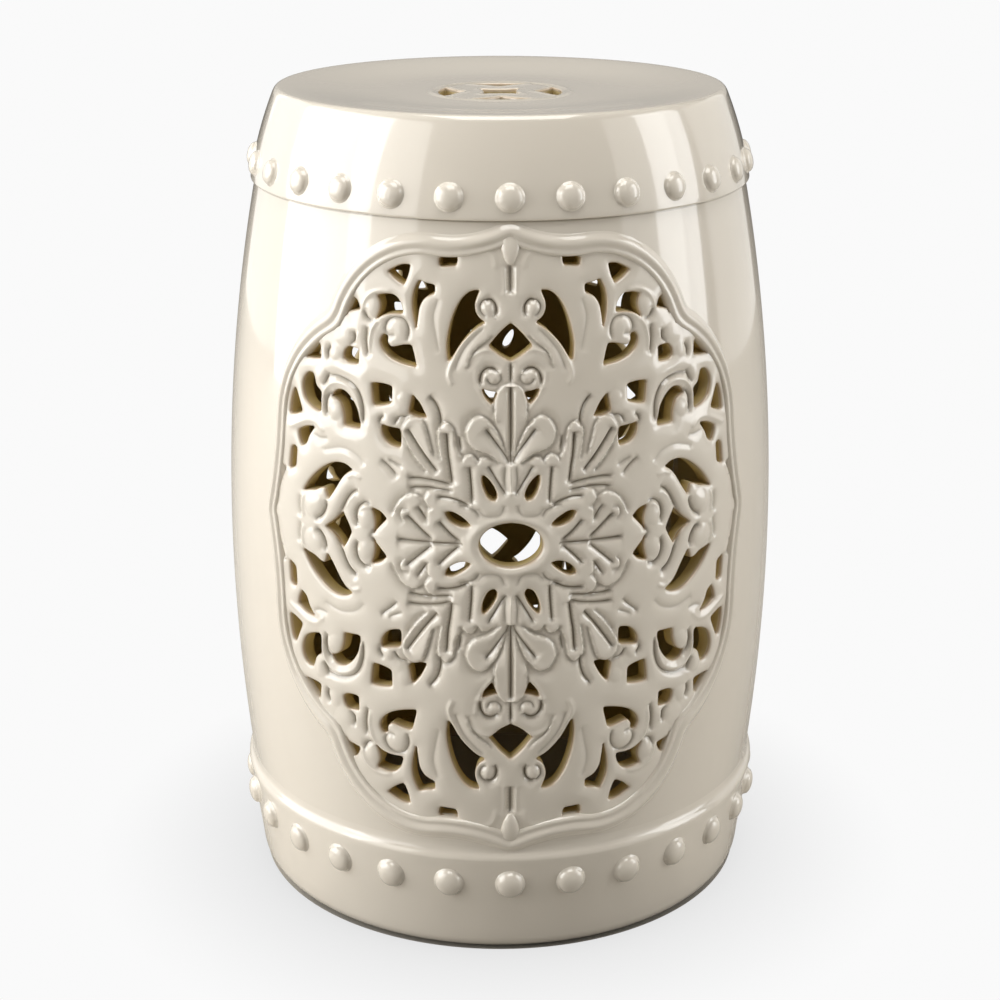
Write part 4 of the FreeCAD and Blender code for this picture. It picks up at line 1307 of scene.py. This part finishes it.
def glaze_group():
    """The glaze's colour and gloss: it pools in hollows, where its dark pooled colour is also a
    painted shade, as at the seam, breaks to tan at cut rims, and leaves the inside as bare ochre clay."""
    group, given, result = node_group(
        "glaze_over_clay",
        [("Body", "NodeSocketColor", (0.8, 0.76, 0.68, 1)),
         ("Thin", "NodeSocketColor", (0.8, 0.76, 0.68, 1)),
         ("Pool_and_Shade", "NodeSocketColor", (0.45, 0.42, 0.33, 1)),
         ("Rim", "NodeSocketColor", (0.42, 0.27, 0.12, 1)),
         ("Clay", "NodeSocketColor", (0.4, 0.25, 0.1, 1)),
         ("Glaze Roughness", "NodeSocketFloat", 0.1),
         ("Clay Roughness", "NodeSocketFloat", 0.7)],
        [("Color", "NodeSocketColor"), ("Roughness", "NodeSocketFloat"),
         ("Coat Weight", "NodeSocketFloat"), ("Bump Height", "NodeSocketFloat")])
    place = add_node(group, "ShaderNodeTexCoord", {}).outputs["Object"]

    def layer(name, strength):
        """One of the pieces' own layers, at a strength."""
        value = add_node(group, "ShaderNodeAttribute", {}, attribute_name=name).outputs["Fac"]
        return maths(group, "MULTIPLY", value, strength, clamp=True)

    def noise(scale, detail):
        """Soft clouds over the piece."""
        return add_node(group, "ShaderNodeTexNoise",
                        {"Vector": place, "Scale": scale, "Detail": detail}).outputs["Fac"]

    inside = layer("depth", 1.0)
    colour = given.outputs["Body"]
    # The second mix lays on pooled glaze and painted shade
    for factor, over in ((noise(CLOUD_SCALE, 3.0), "Thin"), (layer("pool_and_painted_shade", POOL_AND_SHADE_STRENGTH), "Pool_and_Shade"),
                         (layer("rim", RIM_STRENGTH), "Rim"), (inside, "Clay")):
        colour = mixed(group, "RGBA", factor, colour, given.outputs[over])
    roughness = mixed(group, "FLOAT", inside, given.outputs["Glaze Roughness"],
                      given.outputs["Clay Roughness"])
    for output, value in (("Color", colour), ("Roughness", roughness),
                          ("Coat Weight", maths(group, "SUBTRACT", 1.0, inside)),
                          ("Bump Height", noise(RIPPLE_SCALE, 2.0))):
        group.links.new(value, result.inputs[output])
    return group


def glaze_material(name, group, ripple_height, roughness):
    """Glossy ivory glaze over clay."""
    material = bpy.data.materials.new(name)
    material.use_nodes = True
    tree = material.node_tree
    shader = tree.nodes["Principled BSDF"]
    glazing = tree.nodes.new("ShaderNodeGroup")
    glazing.node_tree = group
    for socket, colour in GLAZE_COLOURS.items():
        glazing.inputs[socket].default_value = colour
    glazing.inputs["Glaze Roughness"].default_value = roughness
    for socket, output in (("Base Color", "Color"), ("Roughness", "Roughness"),
                           ("Coat Weight", "Coat Weight")):
        tree.links.new(glazing.outputs[output], shader.inputs[socket])
    bump = add_node(tree, "ShaderNodeBump", {
        "Strength": RIPPLE_STRENGTH, "Distance": ripple_height * MM,
        "Height": glazing.outputs["Bump Height"]})
    tree.links.new(bump.outputs["Normal"], shader.inputs["Normal"])
    shader.inputs["IOR"].default_value = GLAZE_IOR
    shader.inputs["Coat Roughness"].default_value = COAT_ROUGHNESS
    return material


# Stage, lights and camera

def make_floor():
    """A pale floor with the stool's soft shadow, which stays dark under the stool."""
    bm = bmesh.new()
    bmesh.ops.create_grid(bm, x_segments=1, y_segments=1, size=FLOOR_HALF_WIDTH)
    floor = bpy.data.objects.new("floor", mesh_of("floor", bm))
    bpy.context.scene.collection.objects.link(floor)
    material = bpy.data.materials.new("pale_floor")
    material.use_nodes = True
    tree = material.node_tree
    place = add_node(tree, "ShaderNodeTexCoord", {}).outputs["Object"]
    axes = add_node(tree, "ShaderNodeSeparateXYZ", {0: place}).outputs

    def ramp(value, ends, kind):
        """How far a value has come from one end to the other."""
        return add_node(tree, "ShaderNodeMapRange",
                        {"Value": value, "From Min": ends[0], "From Max": ends[1]},
                        interpolation_type=kind).outputs["Result"]

    # Painted shade on the floor: its colour is dark in front of the stool and pale to the sides and
    # back
    backward = ramp(axes["Y"], SHADE_BACK, "LINEAR")
    sideways = ramp(maths(tree, "ABSOLUTE", axes["X"]), SHADE_ACROSS, "SMOOTHSTEP")
    shade = mixed(tree, "RGBA", maths(tree, "MAXIMUM", sideways, backward),
                  FRONT_FLOOR_SHADE, SIDE_FLOOR_SHADE)
    shader = tree.nodes["Principled BSDF"]
    shader.inputs["Roughness"].default_value = FLOOR_ROUGHNESS
    tree.links.new(shade, shader.inputs["Base Color"])
    # Painted shadow: ambient occlusion darkens the floor's white near the stool
    open_air = add_node(tree, "ShaderNodeAmbientOcclusion", {"Distance": SHADOW_REACH}, samples=16)
    level = maths(tree, "MULTIPLY_ADD", open_air.outputs["AO"], BACKDROP_LEVEL * SHADOW_DEPTH,
                  BACKDROP_LEVEL * (1 - SHADOW_DEPTH))
    glow = add_node(tree, "ShaderNodeEmission", {"Strength": level})
    away = add_node(tree, "ShaderNodeVectorMath", {0: place}, operation="LENGTH")
    outside = maths(tree, "GREATER_THAN", away.outputs["Value"], STAGE_HOLE)
    seen = add_node(tree, "ShaderNodeLightPath", {}).outputs["Is Camera Ray"]
    mix = add_node(tree, "ShaderNodeMixShader", {
        0: maths(tree, "MULTIPLY", seen, outside), 1: shader.outputs[0], 2: glow.outputs[0]})
    tree.links.new(mix.outputs[0], tree.nodes["Material Output"].inputs["Surface"])
    floor.data.materials.append(material)


def make_room():
    """A dim warm room that the camera sees as plain white."""
    world = bpy.data.worlds.new("pale_room")
    bpy.context.scene.world = world
    world.use_nodes = True
    tree = world.node_tree
    light = tree.nodes["Background"]
    light.inputs["Color"].default_value = ROOM_COLOUR
    light.inputs["Strength"].default_value = ROOM_LEVEL
    white = add_node(tree, "ShaderNodeBackground",
                     {"Color": (1, 1, 1, 1), "Strength": BACKDROP_LEVEL})
    seen = add_node(tree, "ShaderNodeLightPath", {}).outputs["Is Camera Ray"]
    mix = add_node(tree, "ShaderNodeMixShader",
                   {0: seen, 1: light.outputs[0], 2: white.outputs[0]})
    tree.links.new(mix.outputs[0], tree.nodes["World Output"].inputs["Surface"])


def softbox(name, azimuth, distance, height, width, tall, power, colour):
    """A studio softbox that faces the stool's middle."""
    data = bpy.data.lights.new(name, "AREA")
    data.shape = "RECTANGLE"
    data.size = width
    data.size_y = tall
    data.energy = power
    data.color = colour
    lamp = bpy.data.objects.new(name, data)
    a = math.radians(azimuth)
    lamp.location = (distance * math.sin(a), -distance * math.cos(a), height)
    aim = Vector((0, 0, STOOL_HEIGHT * MM / 2)) - lamp.location
    lamp.rotation_euler = aim.to_track_quat("-Z", "Y").to_euler()
    bpy.context.scene.collection.objects.link(lamp)


def make_camera():
    """A camera that looks down on the stool with its picture plane kept upright."""
    tilt = math.atan2(HORIZON_ABOVE_MIDDLE, FOCAL_PIXELS)
    data = bpy.data.cameras.new("front_view")
    data.sensor_width = SENSOR_WIDTH
    data.lens = FOCAL_PIXELS / FRAME_PIXELS * SENSOR_WIDTH / math.cos(tilt)
    camera = bpy.data.objects.new("front_view", data)
    bpy.context.scene.collection.objects.link(camera)
    upright = Matrix(((1, 0, 0, 0),
                      (0, 0, -math.cos(tilt), -VIEW_DISTANCE),
                      (0, 1, math.sin(tilt), VIEW_HEIGHT),
                      (0, 0, 0, 1)))
    stand = bpy.data.objects.new("camera_stand", None)
    bpy.context.scene.collection.objects.link(stand)
    camera.parent = stand
    camera.matrix_parent_inverse = Matrix.Rotation(math.radians(VIEW_AZIMUTH), 4, "Z") @ upright
    bpy.context.scene.camera = camera
    bpy.context.scene.view_settings.view_transform = "Standard"


glaze_over_clay = glaze_group()
glaze, carved_glaze, seat_glaze = (glaze_material(name, glaze_over_clay, *values)
                                   for name, values in GLAZES.items())

make_drum_wall(glaze)
make_fretworks(carved_glaze)
make_mouldings(glaze)
make_foot_band(glaze)
make_shoulder(glaze)
make_seat(seat_glaze)
make_boss_row("shoulder_domes", "shoulder_bosses", shoulder_radius, SHOULDER_BOSS_Z, glaze)
make_boss_row("foot_domes", "foot_bosses", foot_band_radius, FOOT_BOSS_Z, glaze)
make_floor()
make_room()
for name, values in SOFTBOXES.items():
    softbox(name, *values)
make_camera()
